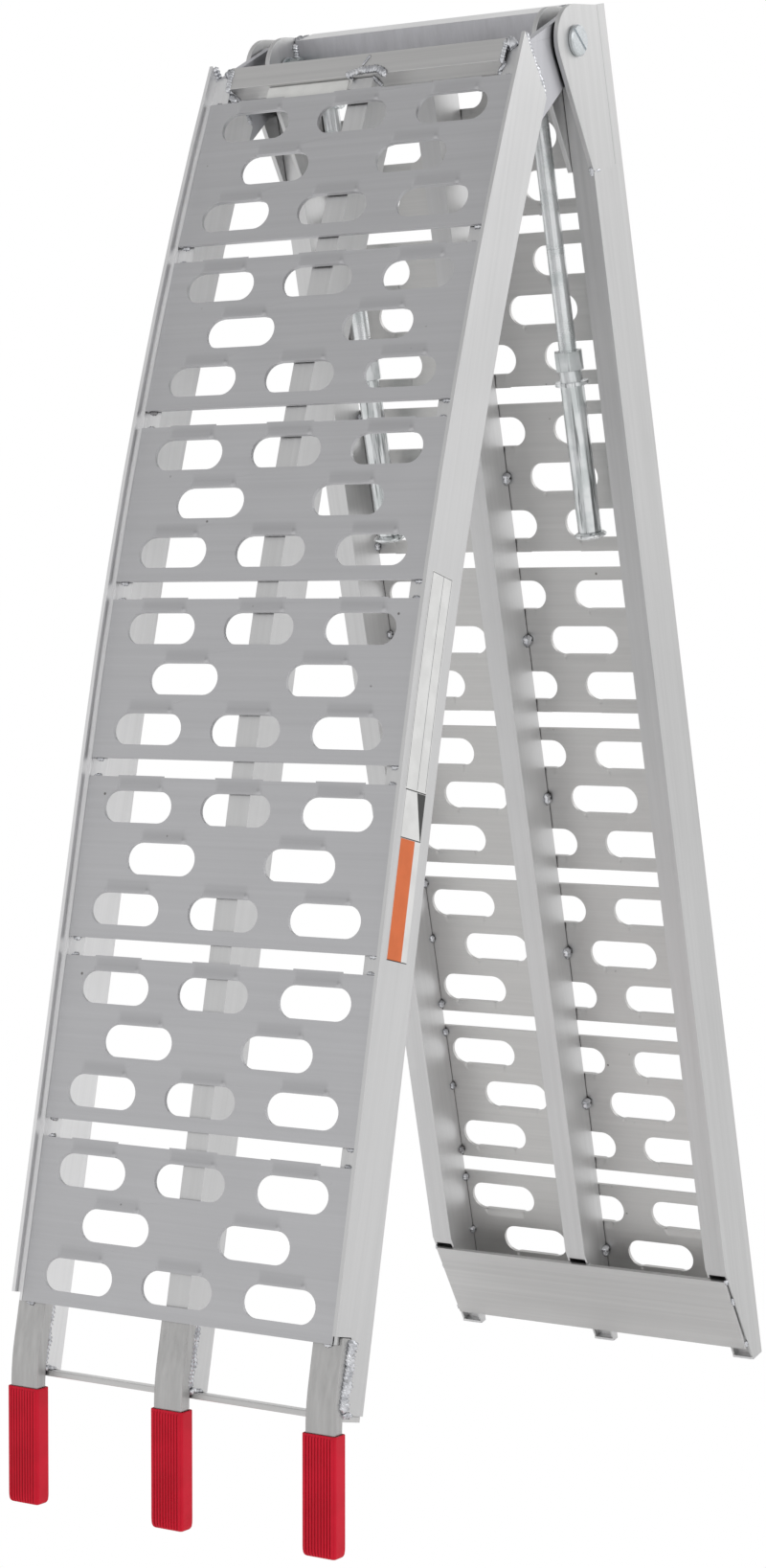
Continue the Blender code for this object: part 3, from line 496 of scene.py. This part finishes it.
def node_finish(name):
    """Material and edge radius of a node that is kept from the CAD."""
    if name.startswith("support_lock_nut"):
        return M_LOCK_NUT, 0.0012
    if name.startswith("support_"):
        return (M_ROD if name.startswith("support_rod") else M_LEG), 0.0004
    if name.startswith("hinge_nut"):
        return M_ZINC, 0.0006
    if name.startswith(("hinge_bolt", "hinge_washer")):
        return M_ZINC, 0.0003
    if name.startswith(("hinge_shim", "hinge_spacer")):
        return M_NYLON, 0.0002
    if name.startswith("hinge_cheek") or name == "lower_rail_right":
        return M_CHEEK, 0.0005
    if name.startswith("lower_rail"):
        return M_LOWER, 0.0005
    if name in ("prong_left", "prong_centre", "prong_right"):
        return M_PRONG, 0.0009
    # Ears and the lower hinge crossbar get the darker copy of the aluminium: painted shade.
    if name.startswith("hinge_ear") or name == "lower_hinge_crossbar":
        return M_EAR_PAINTED_SHADE, 0.0005
    # The left upper rail gets the lighter copy of the aluminium: painted highlight.
    if name == "upper_rail_left":
        return M_PAINTED_HIGHLIGHT, 0.0008
    if name.startswith("upper_rail"):
        return M_UPPER, 0.0005
    return M_ACROSS, 0.0005


def dress_nodes():
    for name, node in frame["nodes"].items():
        material, width = node_finish(name)
        node.data.materials.clear()
        node.data.materials.append(material)
        soften(node, width, weld=True)


# ---------------------------------------------------------------- mesh building

def add_piece(name, mesh, material, body, matrix=None):
    """One visible piece that rides on a body."""
    piece = bpy.data.objects.new(name, mesh)
    bpy.context.scene.collection.objects.link(piece)
    if matrix is not None:
        piece.matrix_world = matrix
    mesh.materials.clear()
    mesh.materials.append(material)
    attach(piece, body)
    return piece


def closed_mesh(name, work):
    """The finished mesh of a closed shape, with its faces pointing out."""
    bmesh.ops.recalc_face_normals(work, faces=work.faces)
    mesh = bpy.data.meshes.new(name)
    work.to_mesh(mesh)
    work.free()
    return mesh


def join_rings(work, rings):
    """Faces between each ring of vertices and the next."""
    for ring, following in zip(rings, rings[1:]):
        for side in range(len(ring)):
            other = (side + 1) % len(ring)
            work.faces.new((ring[side], ring[other], following[other], following[side]))


def add_block(work, top, bottom):
    """Faces of a closed block between two grids of vertices."""
    rows = len(top)
    columns = len(top[0])
    for i in range(rows - 1):
        for j in range(columns - 1):
            work.faces.new((top[i][j], top[i + 1][j], top[i + 1][j + 1], top[i][j + 1]))
            work.faces.new((bottom[i][j], bottom[i][j + 1], bottom[i + 1][j + 1], bottom[i + 1][j]))
    for i in range(rows - 1):
        for j in (0, columns - 1):
            work.faces.new((top[i][j], top[i + 1][j], bottom[i + 1][j], bottom[i][j]))
    for j in range(columns - 1):
        for i in (0, rows - 1):
            work.faces.new((top[i][j], top[i][j + 1], bottom[i][j + 1], bottom[i][j]))


def bar_mesh(name, top, bottom):
    """A closed bar between two grids of points."""
    work = bmesh.new()
    add_block(work, *([[work.verts.new(point) for point in row] for row in grid] for grid in (top, bottom)))
    return closed_mesh(name, work)


def long_bar(name, place, ts, top_line, bottom_line):
    """A closed bar along a half: each line gives its (x, n) points from side to side."""
    top, bottom = ([[place(x, t, n) for x, n in points] for t in ts] for points in (top_line, bottom_line))
    return bar_mesh(name, top, bottom)


def arc(centre, radius, start, end, steps):
    """Points along a circular arc, both ends included."""
    points = []
    for step in range(steps + 1):
        angle = start + (end - start) * step / steps
        points.append((centre[0] + radius * math.cos(angle), centre[1] + radius * math.sin(angle)))
    return points


def slot_outline(x, t):
    """An obround slot, long across the ramp."""
    half = (SLOT_LENGTH - SLOT_WIDTH) / 2
    radius = SLOT_WIDTH / 2
    return (arc((x + half, t), radius, -math.pi / 2, math.pi / 2, SLOT_END_STEPS)
            + arc((x - half, t), radius, math.pi / 2, 3 * math.pi / 2, SLOT_END_STEPS))


def slot_places():
    """Centres of a tread's eight slots, in rows of three, two and three."""
    places = []
    for row in (-1, 0, 1):
        columns = (-0.5 * SLOT_NARROW_PITCH, 0.5 * SLOT_NARROW_PITCH)
        if row:
            columns = (-SLOT_WIDE_PITCH, 0.0, SLOT_WIDE_PITCH)
        places += [(x, row * SLOT_ROW_SPACING) for x in columns]
    return places


def flat_mesh(name, outlines, thickness):
    """A flat plate with holes, from its outlines."""
    curve = bpy.data.curves.new(name, "CURVE")
    curve.dimensions = "2D"
    curve.fill_mode = "BOTH"
    curve.extrude = thickness / 2
    for outline in outlines:
        spline = curve.splines.new("POLY")
        spline.points.add(len(outline) - 1)
        for point, place in zip(spline.points, outline):
            point.co = (place[0], place[1], 0.0, 1.0)
        spline.use_cyclic_u = True
    flat = bpy.data.objects.new(name, curve)
    bpy.context.scene.collection.objects.link(flat)
    bpy.context.view_layer.update()
    mesh = bpy.data.meshes.new_from_object(flat.evaluated_get(bpy.context.evaluated_depsgraph_get()))
    bpy.data.objects.remove(flat, do_unlink=True)
    bpy.data.curves.remove(curve)
    work = bmesh.new()
    work.from_mesh(mesh)
    bmesh.ops.remove_doubles(work, verts=work.verts, dist=MERGE_DISTANCE)
    bmesh.ops.recalc_face_normals(work, faces=work.faces)
    work.to_mesh(mesh)
    work.free()
    return mesh


def smooth(value):
    """Smooth step from 0 to 1."""
    value = min(max(value, 0.0), 1.0)
    return value * value * (3 - 2 * value)


def lip_mesh(name, places, side, base, floor, reach, rise_to):
    """Closed humps beside the slots: each rises towards a slot's straight edge on the given side."""
    work = bmesh.new()
    flank = LIP_FLANK
    half = (SLOT_LENGTH - SLOT_WIDTH) / 2 - flank / 2
    along = [-half - flank + flank * step / 6 for step in range(7)]
    along += [-half + 2 * half * step / 6 for step in range(1, 6)]
    along += [half + flank * step / 4 for step in range(5)]
    for x, t in places:
        top = []
        bottom = []
        for u in along:
            height = smooth((half + flank - abs(u)) / flank)
            column_top = []
            column_bottom = []
            for step in range(LIP_STEPS + 1):
                v = step / LIP_STEPS
                y = t + side * (SLOT_WIDTH / 2 - reach + v * LIP_RUN)
                rise = rise_to * height * (0.5 + 0.5 * math.cos(math.pi * v ** 0.85))
                away = math.hypot(u + half + flank * 0.45, v * LIP_RUN - BURR_SETBACK)
                rise += BURR_HEIGHT * math.exp(-(away / BURR_RADIUS) ** 2) * (1 - v)
                column_top.append(work.verts.new((x + u, y, base + rise)))
                column_bottom.append(work.verts.new((x + u, y, floor)))
            top.append(column_top)
            bottom.append(column_bottom)
        add_block(work, top, bottom)
    return closed_mesh(name, work)


def combine(mesh, tool_mesh, operation):
    """The union or difference of two closed meshes."""
    target = bpy.data.objects.new("target", mesh)
    tool = bpy.data.objects.new("tool", tool_mesh)
    for thing in (target, tool):
        bpy.context.scene.collection.objects.link(thing)
    modifier = target.modifiers.new("combine", "BOOLEAN")
    modifier.operation = operation
    modifier.solver = "EXACT"
    modifier.object = tool
    bpy.context.view_layer.update()
    result = bpy.data.meshes.new_from_object(target.evaluated_get(bpy.context.evaluated_depsgraph_get()))
    bpy.data.objects.remove(target, do_unlink=True)
    bpy.data.objects.remove(tool, do_unlink=True)
    return result


def tread_mesh(name, side):
    """A slotted plate whose slots have pressed lips: side -1 towards the hinge, +1 away from it."""
    half_x = TREAD_WIDTH / 2
    half_t = TREAD_LENGTH / 2
    outlines = [[(-half_x, -half_t), (half_x, -half_t), (half_x, half_t), (-half_x, half_t)]]
    outlines += [slot_outline(x, t) for x, t in slot_places()]
    mesh = flat_mesh(name, outlines, TREAD_THICKNESS)
    half = TREAD_THICKNESS / 2
    hump = lip_mesh("lips", slot_places(), side, half, half - 0.0002, -0.00004, LIP_HEIGHT)
    mesh = combine(mesh, hump, "UNION")
    hollow = lip_mesh("recess", slot_places(), side, -half - 0.0002, -half - 0.001, 0.0006, RECESS_DEPTH)
    mesh = combine(mesh, hollow, "DIFFERENCE")
    mesh.name = name
    return mesh


def make_treads():
    """The fifteen tread plates, one shape for each half."""
    for half, count, side in (("upper", UPPER_TREADS, -1), ("lower", LOWER_TREADS, 1)):
        first = UPPER_FIRST_TREAD if half == "upper" else LOWER_FIRST_TREAD
        pattern = tread_mesh(f"{half}_tread_pattern", side)
        for number in range(1, count + 1):
            t = first + (number - 1) * TREAD_PITCH + TREAD_LENGTH / 2
            if half == "upper":
                down, out, _ = upper_axes(t)
                place = upper(0, t, -TREAD_THICKNESS / 2)
            else:
                down, out = DOWN, OUT
                place = lower(0, t, -TREAD_THICKNESS / 2)
            across = down.cross(out)
            axes = Matrix((across, down, out)).transposed().to_4x4()
            # The lower treads take the lighter copy: painted light.
            material = M_TREAD_UPPER if half == "upper" else M_TREAD_LOWER_PAINTED_LIGHT
            piece = add_piece(f"tread_{half}_{number}", pattern.copy(), material, f"{half}_half",
                              Matrix.Translation(place) @ axes)
            soften(piece, 0.00035)
            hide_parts(f"{half}_tread_{number}")


# ---------------------------------------------------------------- weld beads

def resample(path, spacing):
    """Points at even spacing along a polyline."""
    points = [Vector(point) for point in path]
    lengths = [(b - a).length for a, b in zip(points, points[1:])]
    total = sum(lengths)
    count = max(int(total / spacing), 4)
    result = []
    for index in range(count + 1):
        left = total * index / count
        segment = 0
        while segment < len(lengths) - 1 and left > lengths[segment]:
            left -= lengths[segment]
            segment += 1
        share = min(left / max(lengths[segment], 1e-9), 1.0)
        result.append(points[segment].lerp(points[segment + 1], share))
    return result


def add_bead(work, path, radius, out, seed, ripple=0.0022, flat=0.75):
    """A bumpy bead of overlapping ripples along a path, lying on a surface that faces out."""
    rng = random.Random(seed)
    shift = rng.uniform(0, 50)
    points = resample(path, ripple / RIPPLE_STEPS)
    out = Vector(out).normalized()
    count = len(points)
    rings = []
    for index, point in enumerate(points):
        ahead = points[min(index + 1, count - 1)] - points[max(index - 1, 0)]
        along = ahead.normalized()
        across = along.cross(out).normalized()
        up = across.cross(along).normalized()
        share = index / (count - 1)
        end = min(share, 1 - share) * count / 4.5
        taper = math.sqrt(max(1 - (1 - min(end, 1.0)) ** 2, 0.02))
        drift = 1.4 * noise.noise(Vector((shift, index * 0.21, 0)))
        wave = math.cos(2 * math.pi * index / RIPPLE_STEPS + drift)
        size = radius * taper * (1 + 0.20 * wave + 0.28 * noise.noise(Vector((shift, 3.0, index * 0.13))))
        sway = across * radius * 0.35 * noise.noise(Vector((index * 0.10, shift, 7.0)))
        ring = []
        for side in range(BEAD_SIDES):
            angle = 2 * math.pi * side / BEAD_SIDES
            lag = -0.55 * ripple * abs(math.sin(angle)) * taper
            jitter = 1 + 0.16 * noise.noise(Vector((shift + side * 1.7, index * 0.35, 1.0)))
            place = (point + sway + along * lag + across * math.sin(angle) * size * jitter
                     + up * math.cos(angle) * size * flat * jitter)
            ring.append(work.verts.new(place))
        rings.append(ring)
    join_rings(work, rings)
    work.faces.new(rings[0][::-1])
    work.faces.new(rings[-1])


def make_welds(name, body, beads):
    """One piece of beads: each has a path, a radius, an outward direction, and maybe ripple and flatness."""
    work = bmesh.new()
    for number, (path, radius, out, *shape) in enumerate(beads):
        add_bead(work, path, radius, out, number + 3 * len(name), *shape)
    mesh = closed_mesh(name, work)
    mesh.shade_smooth()
    add_piece(name, mesh, M_WELD, body)


def mitre_path(x, depths, lift):
    """Points along the slanting end of an upper rail."""
    return [upper(x, (CURB_HEIGHT - n) * MITRE_SLOPE + lift, n) for n in depths]


def line(place, *points):
    """Points of a half, each given as (x, t, n)."""
    return [place(*point) for point in points]


def hinge_welds():
    """Beads that hold the crossbars, ears and cheeks."""
    top = []
    low = []
    inner = HALF_WIDTH - RAIL_WIDTH
    for s, _ in SIDES:
        ear_mitre = mitre_path(s * (HALF_WIDTH - 0.0024), (0.003, -0.012, -0.027, -0.041), -0.0020)
        top.append((ear_mitre, 0.0037, (s, -0.3, 0.6), 0.0030, 0.6))
        x = s * (HALF_WIDTH - 0.005)
        ear_heel = line(upper, (x, 0.026, RAIL_UNDERSIDE), (x, 0.056, RAIL_UNDERSIDE))
        top.append((ear_heel, 0.0022, (s, 0, -0.3)))
        inside = mitre_path(s * (inner + 0.001), (-0.003, -0.020, -0.038), 0.0005)
        top.append((inside, 0.0028, (-s, -0.4, 0.3)))
        x = s * (inner - 0.0002)
        bar_end = line(upper, (x, CROSSBAR_EDGE, -0.018), (x, CROSSBAR_EDGE, 0.0), (x, 0.001, 0.0))
        top.append((bar_end, 0.0021, (-s * 0.5, -1, 0.3)))
        blob = line(upper, (s * (inner - 0.001), 0.0035, -0.003), (s * (inner + 0.009), 0.0045, -0.003))
        top.append((blob, 0.0048, (0, -1, 0.4), 0.0030))
        blob = line(upper, (s * (inner - 0.004), 0.0225, -0.007), (s * (inner + 0.001), 0.0265, -0.007))
        top.append((blob, 0.0062, (0, -1, 0.2), 0.0036, 0.9))
        x = s * CROSSBAR_END
        low.append((line(lower, (x, 0.0005, -0.028), (x, 0.0005, -0.006)), 0.0034, (-s, 0, 0.6)))
        low.append((line(lower, (x, 0.002, -0.0295), (x, 0.029, -0.0295)), 0.0036, (-s, -0.6, 0)))
        x = s * (HALF_WIDTH - 0.0005)
        low.append((line(lower, (x, 0.1225, -0.037), (x, 0.1225, -0.028)), 0.0012, (s, 0, 0)))
        x = s * (HALF_WIDTH - 0.002)
        cheek_heel = line(lower, (x, 0.1190, RAIL_UNDERSIDE), (x, 0.1265, RAIL_UNDERSIDE))
        low.append((cheek_heel, 0.0021, (s, -0.8, 0)))
    arch = []
    for step in range(9):
        angle = math.pi * step / 8
        t = 0.0205 - 0.0070 * math.sin(angle) + 0.0022 * step / 8
        arch.append(upper(0.0055 - 0.0175 * math.cos(angle), t, 0.0003))
    top.append((arch, 0.0029, (0, -1, 0.3), 0.0026))
    top.append((line(upper, (0.004, 0.002, 0.0002), (-0.001, 0.011, 0.0002)), 0.0010, (0, -1, 0.3)))
    for s, _ in SIDES:
        x = s * CENTRE_RAIL_SIDE
        bar_joint = line(upper, (x, CROSSBAR_EDGE, -0.016), (x, CROSSBAR_EDGE, -0.002))
        top.append((bar_joint, 0.0018, (s, -0.5, 0)))
        low.append((line(lower, (x, 0.0302, -0.028), (x, 0.0302, -0.006)), 0.0018, (s, 0, -0.5)))
    make_welds("welds_upper_hinge", "upper_half", top)
    make_welds("welds_lower_hinge", "lower_half", low)


def prong_welds():
    """Beads down both sides and across the end of each prong, and behind it on the tip crossbar."""
    beads = []
    outer = HALF_WIDTH - PRONG_WIDTH / 2
    for s, x in ((-1, -outer), (0, 0.0), (1, outer)):
        for side in (-1, 1):
            edge = x + side * PRONG_WIDTH / 2
            rail_edge = s * (HALF_WIDTH - RAIL_WIDTH / 2) + side * RAIL_WIDTH / 2
            if s == side:
                bead_x, depth, radius = edge, -0.0135, 0.0046
            else:
                bead_x, depth, radius = (edge + rail_edge) / 2, -0.0145, 0.0034
            path = [upper(bead_x, t, depth) for t in (0.9655, 0.985, 1.003, 1.017)]
            beads.append((path, radius, (side, -0.4, 0.1), 0.0030))
            tail = line(upper, (bead_x, 1.0175, depth), (bead_x, 1.0180, depth - 0.012))
            beads.append((tail, 0.0032, (side * 0.4, -0.4, -1), 0.0028))
    for x in (-0.1265, -CENTRE_RAIL_SIDE, CENTRE_RAIL_SIDE, 0.1265):
        beads.append((line(upper, (x, 1.0175, -0.020), (x, 1.0175, -0.034)), 0.0022, (0.2, -0.5, -1)))
    make_welds("welds_prongs", "upper_half", beads)


def foot_welds():
    """Tacks along the edges of the foot plate."""
    beads = []
    along = (FOOT_PLATE_END - FOOT_PLATE_START).normalized()
    for s, _ in SIDES:
        x = s * (HALF_WIDTH - 0.0015)
        for a, b, size in ((0.0095, 0.0150, 0.0024), (0.030, 0.038, 0.0016), (0.078, 0.0845, 0.0020)):
            p, q = FOOT_PLATE_START + along * a, FOOT_PLATE_START + along * b
            path = line(lower, (x, p.x, p.y - 0.001), (x, q.x, q.y - 0.001))
            beads.append((path, size, (s, -0.6, -0.5)))
    p = FOOT_PLATE_START + along * 0.010
    for x in (-CENTRE_RAIL_SIDE, CENTRE_RAIL_SIDE):
        path = line(lower, (x, p.x, p.y + 0.001), (x, p.x + 0.006, p.y + 0.002))
        beads.append((path, 0.0016, (0, -1, 0.5)))
    make_welds("welds_foot_plate", "lower_half", beads)


def stitch_welds():
    """Small tacks under the treads along the rails' sides, and on the curbs at both ends of each tread."""
    inner = HALF_WIDTH - RAIL_WIDTH
    depth = -TREAD_THICKNESS - 0.0022
    deeper = depth - 0.0018
    for half, count, first, place in (("upper", UPPER_TREADS, UPPER_FIRST_TREAD, upper),
                                      ("lower", LOWER_TREADS, LOWER_FIRST_TREAD, lower)):
        end_out = (0, 0, 1) if half == "lower" else (0, -1, 0)
        beads = []
        for number in range(count):
            start = first + number * TREAD_PITCH
            for share in (0.05, 0.46, 0.95):
                for s, _ in SIDES:
                    t = start + share * TREAD_LENGTH
                    x = s * (inner - 0.0004)
                    path = line(place, (x, t - 0.0034, depth), (x, t + 0.0034, depth))
                    beads.append((path, 0.0032, (-s, 0, -1)))
            t = start + 0.5 * TREAD_LENGTH
            for s, _ in SIDES:
                x = s * (RAIL_WIDTH / 2 + 0.0004)
                path = line(place, (x, t - 0.0052, deeper), (x, t + 0.0052, deeper))
                beads.append((path, 0.0046, (s, 0, -1), 0.0034))
            for s, _ in SIDES:
                for end in (start - 0.0006, start + TREAD_LENGTH + 0.0006):
                    path = line(place, (s * 0.1300, end, -0.0031), (s * 0.1372, end, -0.0031))
                    beads.append((path, 0.0019, end_out))
        make_welds(f"welds_tread_tacks_{half}", f"{half}_half", beads)


# ---------------------------------------------------------------- sleeves

def sleeve_section(scale_x, scale_y, rib):
    """Outline of a sleeve at one height: ribs on the front, rounded corners."""
    corner = SLEEVE_CORNER
    half_x = SLEEVE_WIDTH / 2 * scale_x
    half_y = SLEEVE_THICKNESS / 2 * scale_y
    points = []
    flat = half_x - corner
    pitch = 2 * flat / SLEEVE_RIBS
    for index in range(SLEEVE_RIBS):
        x = -flat + index * pitch
        for share, lift in ((0.06, 0.0), (0.20, 0.85), (0.5, 1.0), (0.80, 0.85), (0.94, 0.0)):
            points.append((x + share * pitch, -half_y - rib * lift))
    for cx, cy, start in ((flat, -half_y + corner, -90), (flat, half_y - corner, 0),
                          (-flat, half_y - corner, 90), (-flat, -half_y + corner, 180)):
        points += arc((cx, cy), corner, math.radians(start), math.radians(start + 90), 5)
    return points


def sleeve_mesh(name):
    """A ribbed sleeve with a rounded foot, open at the top where the prong goes in."""
    work = bmesh.new()
    levels = [(0.0002, 0.88, 0.80, 0.2), (0.0008, 0.93, 0.88, 0.5), (0.0022, 0.975, 0.955, 0.8),
              (0.0045, 0.995, 0.99, 1.0), (0.0070, 1.0, 1.0, 1.0)]
    levels += [(SLEEVE_LENGTH * share, 1.0, 1.0, 1.0) for share in (0.25, 0.5, 0.75)]
    levels += [(SLEEVE_LENGTH - 0.0022, 1.0, 1.0, 1.0), (SLEEVE_LENGTH - 0.0016, 1.0, 1.0, 0.35),
               (SLEEVE_LENGTH - 0.0006, 1.0, 1.0, 0.3), (SLEEVE_LENGTH, 0.985, 0.97, 0.0)]
    rings = []
    for height, scale_x, scale_y, lift in levels:
        outline = sleeve_section(scale_x, scale_y, SLEEVE_RIB_HEIGHT * lift)
        rings.append([work.verts.new((x, y, height)) for x, y in outline])
    half_x = PRONG_WIDTH / 2 + SLEEVE_WALL_GAP
    half_y = PRONG_THICKNESS / 2 + SLEEVE_WALL_GAP
    for height in (SLEEVE_LENGTH, SLEEVE_LENGTH - 0.004, 0.0045):
        ring = []
        for x, y in sleeve_section(1.0, 1.0, 0.0):
            inside = (max(-half_x, min(half_x, x * 0.93)), max(-half_y, min(half_y, y)), height)
            ring.append(work.verts.new(inside))
        rings.append(ring)
    join_rings(work, rings)
    work.faces.new(rings[0][::-1])
    work.faces.new(rings[-1])
    return closed_mesh(name, work)


def make_sleeves():
    """The rubber sleeves on the prongs, standing on the ground."""
    lean = Matrix.Rotation(-PRONG_LEAN, 4, "X")
    for word in ("left", "centre", "right"):
        low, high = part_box(f"prong_sleeve_{word}")
        x = (low.x + high.x) / 2
        foot_y = low.y + (SLEEVE_THICKNESS / 2 + 0.0007) / math.cos(PRONG_LEAN)
        piece = add_piece(f"sleeve_{word}", sleeve_mesh(f"sleeve_{word}"), M_RUBBER, "upper_half",
                          Matrix.Translation((x, foot_y, 0.0)) @ lean)
        piece.data.shade_smooth()
        keep_flat(piece)
        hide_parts(f"prong_sleeve_{word}")


# ---------------------------------------------------------------- frame details

def add_bar(name, mesh, material, body, width):
    """A small frame piece with rounded edges."""
    soften(add_piece(name, mesh, material, body), width)


def make_crossbar_crown():
    """The slightly sloping end of the lower crossbar."""
    xs = (-CROWN_HALF_WIDTH, CROWN_HALF_WIDTH)
    top = [[lower(x, t, n) for t, n in zip(CROWN_START, CROWN_RISE)] for x in xs]
    bottom = [[lower(x, CROWN_FOOT, n) for n in CROWN_RISE] for x in xs]
    name = "lower_crossbar_crown"
    # The lighter copy of the aluminium: painted highlight on this end.
    add_bar(name, bar_mesh(name, top, bottom), M_PAINTED_HIGHLIGHT, "lower_half", 0.0003)


def make_rail_tips():
    """The closed lip at the very end of each lower rail."""
    outer = HALF_WIDTH - RAIL_WIDTH / 2
    half = RAIL_WIDTH / 2 - 0.0004
    for word, x in (("left", -outer), ("centre", 0.0), ("right", outer)):
        top, bottom = ([(x - half, n), (x + half, n)] for n in RAIL_TIP_RISE)
        name = f"lower_rail_tip_{word}"
        # The lighter copy of the aluminium: painted highlight on the tips.
        add_bar(name, long_bar(name, lower, RAIL_TIP_SPAN, top, bottom), M_PAINTED_HIGHLIGHT, "lower_half", 0.0004)


def make_shoulders():
    """The step at the foot of each curb, nearly flush with the treads."""
    inner, outer = TREAD_WIDTH / 2 + 0.0006, HALF_WIDTH - 0.0028
    for half, place in (("upper", upper), ("lower", lower)):
        start, end = SHOULDER_SPANS[half]
        steps = SHOULDER_STEPS[half]
        ts = [start + (end - start) * step / steps for step in range(steps + 1)]
        for s, word in SIDES:
            top, bottom = ([(s * inner, n), (s * outer, n)] for n in (-0.0004, RAIL_TOP - 0.0002))
            # Only the upper half's left shoulders get the lighter copy: painted highlight.
            material = M_LOWER if half == "lower" else (M_PAINTED_HIGHLIGHT if s < 0 else M_UPPER)
            name = f"curb_shoulder_{half}_{word}"
            add_bar(name, long_bar(name, place, ts, top, bottom), material, f"{half}_half", 0.0003)


def make_threads():
    """Rounded thread crests on each rod, from above its lock nut to its end inside the tube."""
    profile = [(THREAD_START, THREAD_ROOT)]
    one_turn = ((0.15, THREAD_ROOT), (0.45, THREAD_CREST), (0.60, THREAD_CREST), (0.90, THREAD_ROOT))
    for turn in range(int((THREAD_END - THREAD_START) / THREAD_PITCH)):
        for share, radius in one_turn:
            profile.append((THREAD_START + (turn + share) * THREAD_PITCH, radius))
    profile += [(THREAD_END, THREAD_ROOT), (THREAD_END, THREAD_CORE), (THREAD_START, THREAD_CORE)]
    for s, word in SIDES:
        work = bmesh.new()
        rings = []
        for t, radius in profile:
            ring = []
            for side in range(THREAD_SIDES):
                angle = 2 * math.pi * side / THREAD_SIDES
                x, n = s * LEG_X + radius * math.cos(angle), LEG_N + radius * math.sin(angle)
                ring.append(work.verts.new(lower(x, t, n)))
            rings.append(ring)
        join_rings(work, rings + rings[:1])
        mesh = closed_mesh(f"support_thread_{word}", work)
        mesh.shade_smooth()
        add_piece(mesh.name, mesh, M_ROD, f"support_leg_{word}")


def make_cheek_seams():
    """Ground seams where the outer cheeks end on the rails."""
    outer, inner = HALF_WIDTH + 0.00005, HALF_WIDTH - 0.0010
    for s, word in SIDES:
        top, bottom = ([(s * x, n) for n in CHEEK_SEAM_RISE] for x in (outer, inner))
        mesh = long_bar(f"cheek_seam_{word}", lower, CHEEK_SEAM_SPAN, top, bottom)
        add_piece(mesh.name, mesh, M_CHEEK, "lower_half")


def make_pale_strip():
    """The pale strip below the upper crossbar."""
    top, bottom = ([(x, n) for x in PALE_STRIP_WIDTH] for n in PALE_STRIP_RISE)
    mesh = long_bar("pale_strip", upper, PALE_STRIP_SPAN, top, bottom)
    add_bar(mesh.name, mesh, plastic("pale_strip", (0.84, 0.84, 0.82), 0.45), "upper_half", 0.0003)


# ---------------------------------------------------------------- label

def band_mesh(name, t_start, t_end, n_low, n_high, base, height, taper=0.0):
    """A thin band on the outer side of the right upper rail that follows the rail's curve."""
    steps = max(int((t_end - t_start) / 0.02), 1)
    rows = []
    for step in range(steps + 1):
        share = step / steps
        rows.append((t_start + (t_end - t_start) * share, n_high + (n_low - n_high) * taper * share))
    top, bottom = ([[upper(HALF_WIDTH + x, t, n) for n in (n_low, n_end)] for t, n_end in rows]
                   for x in (base + height, base))
    return bar_mesh(name, top, bottom)


def make_label():
    """A blank label: a white strip with thin lines, a white field with a dark wedge, an orange field."""
    white = plastic("label_white", (0.86, 0.86, 0.85), 0.4)
    orange = plastic("label_orange", (0.80, 0.16, 0.025), 0.4)
    dark = plastic("label_dark", (0.035, 0.035, 0.035), 0.4)
    grey = plastic("label_grey", (0.20, 0.20, 0.21), 0.4)
    sheets = [("strip", 0.4190, 0.5775, -0.0285, -0.0010, white, 0.0),
              ("field", 0.5782, 0.6120, -0.0285, -0.0028, white, 0.0),
              ("base", 0.6127, 0.7000, -0.0285, -0.0026, white, 0.0)]
    marks = [(f"line_{word}", 0.4195, 0.5765, n, n + LABEL_LINE, grey, 0.0)
             for word, n in (("outer", -0.0278), ("inner", -0.0022), ("middle", -0.0168))]
    marks += [("line_start", 0.4195, 0.4201, -0.0278, -0.0017, grey, 0.0),
              ("line_field", 0.5775, 0.5783, -0.0285, -0.0020, dark, 0.0),
              ("wedge", 0.5786, 0.6118, -0.0283, -0.0170, dark, 0.92),
              ("orange", 0.6130, 0.6997, -0.0212, -0.0028, orange, 0.0),
              ("line_base", 0.6120, 0.6128, -0.0285, -0.0026, dark, 0.0),
              ("line_end", 0.6994, 0.7001, -0.0285, -0.0026, dark, 0.0)]
    for bands, base, height in ((sheets, 0.0, LABEL_THICKNESS), (marks, LABEL_THICKNESS * 0.5, LABEL_INK)):
        for name, t_start, t_end, n_low, n_high, material, taper in bands:
            mesh = band_mesh(f"label_{name}", t_start, t_end, n_low, n_high, base, height, taper)
            add_piece(mesh.name, mesh, material, "upper_half")


# ---------------------------------------------------------------- scene

make_camera()
make_studio()
dress_nodes()
make_treads()
hinge_welds()
prong_welds()
foot_welds()
stitch_welds()
make_sleeves()
make_label()
make_crossbar_crown()
make_rail_tips()
make_shoulders()
make_threads()
make_cheek_seams()
make_pale_strip()
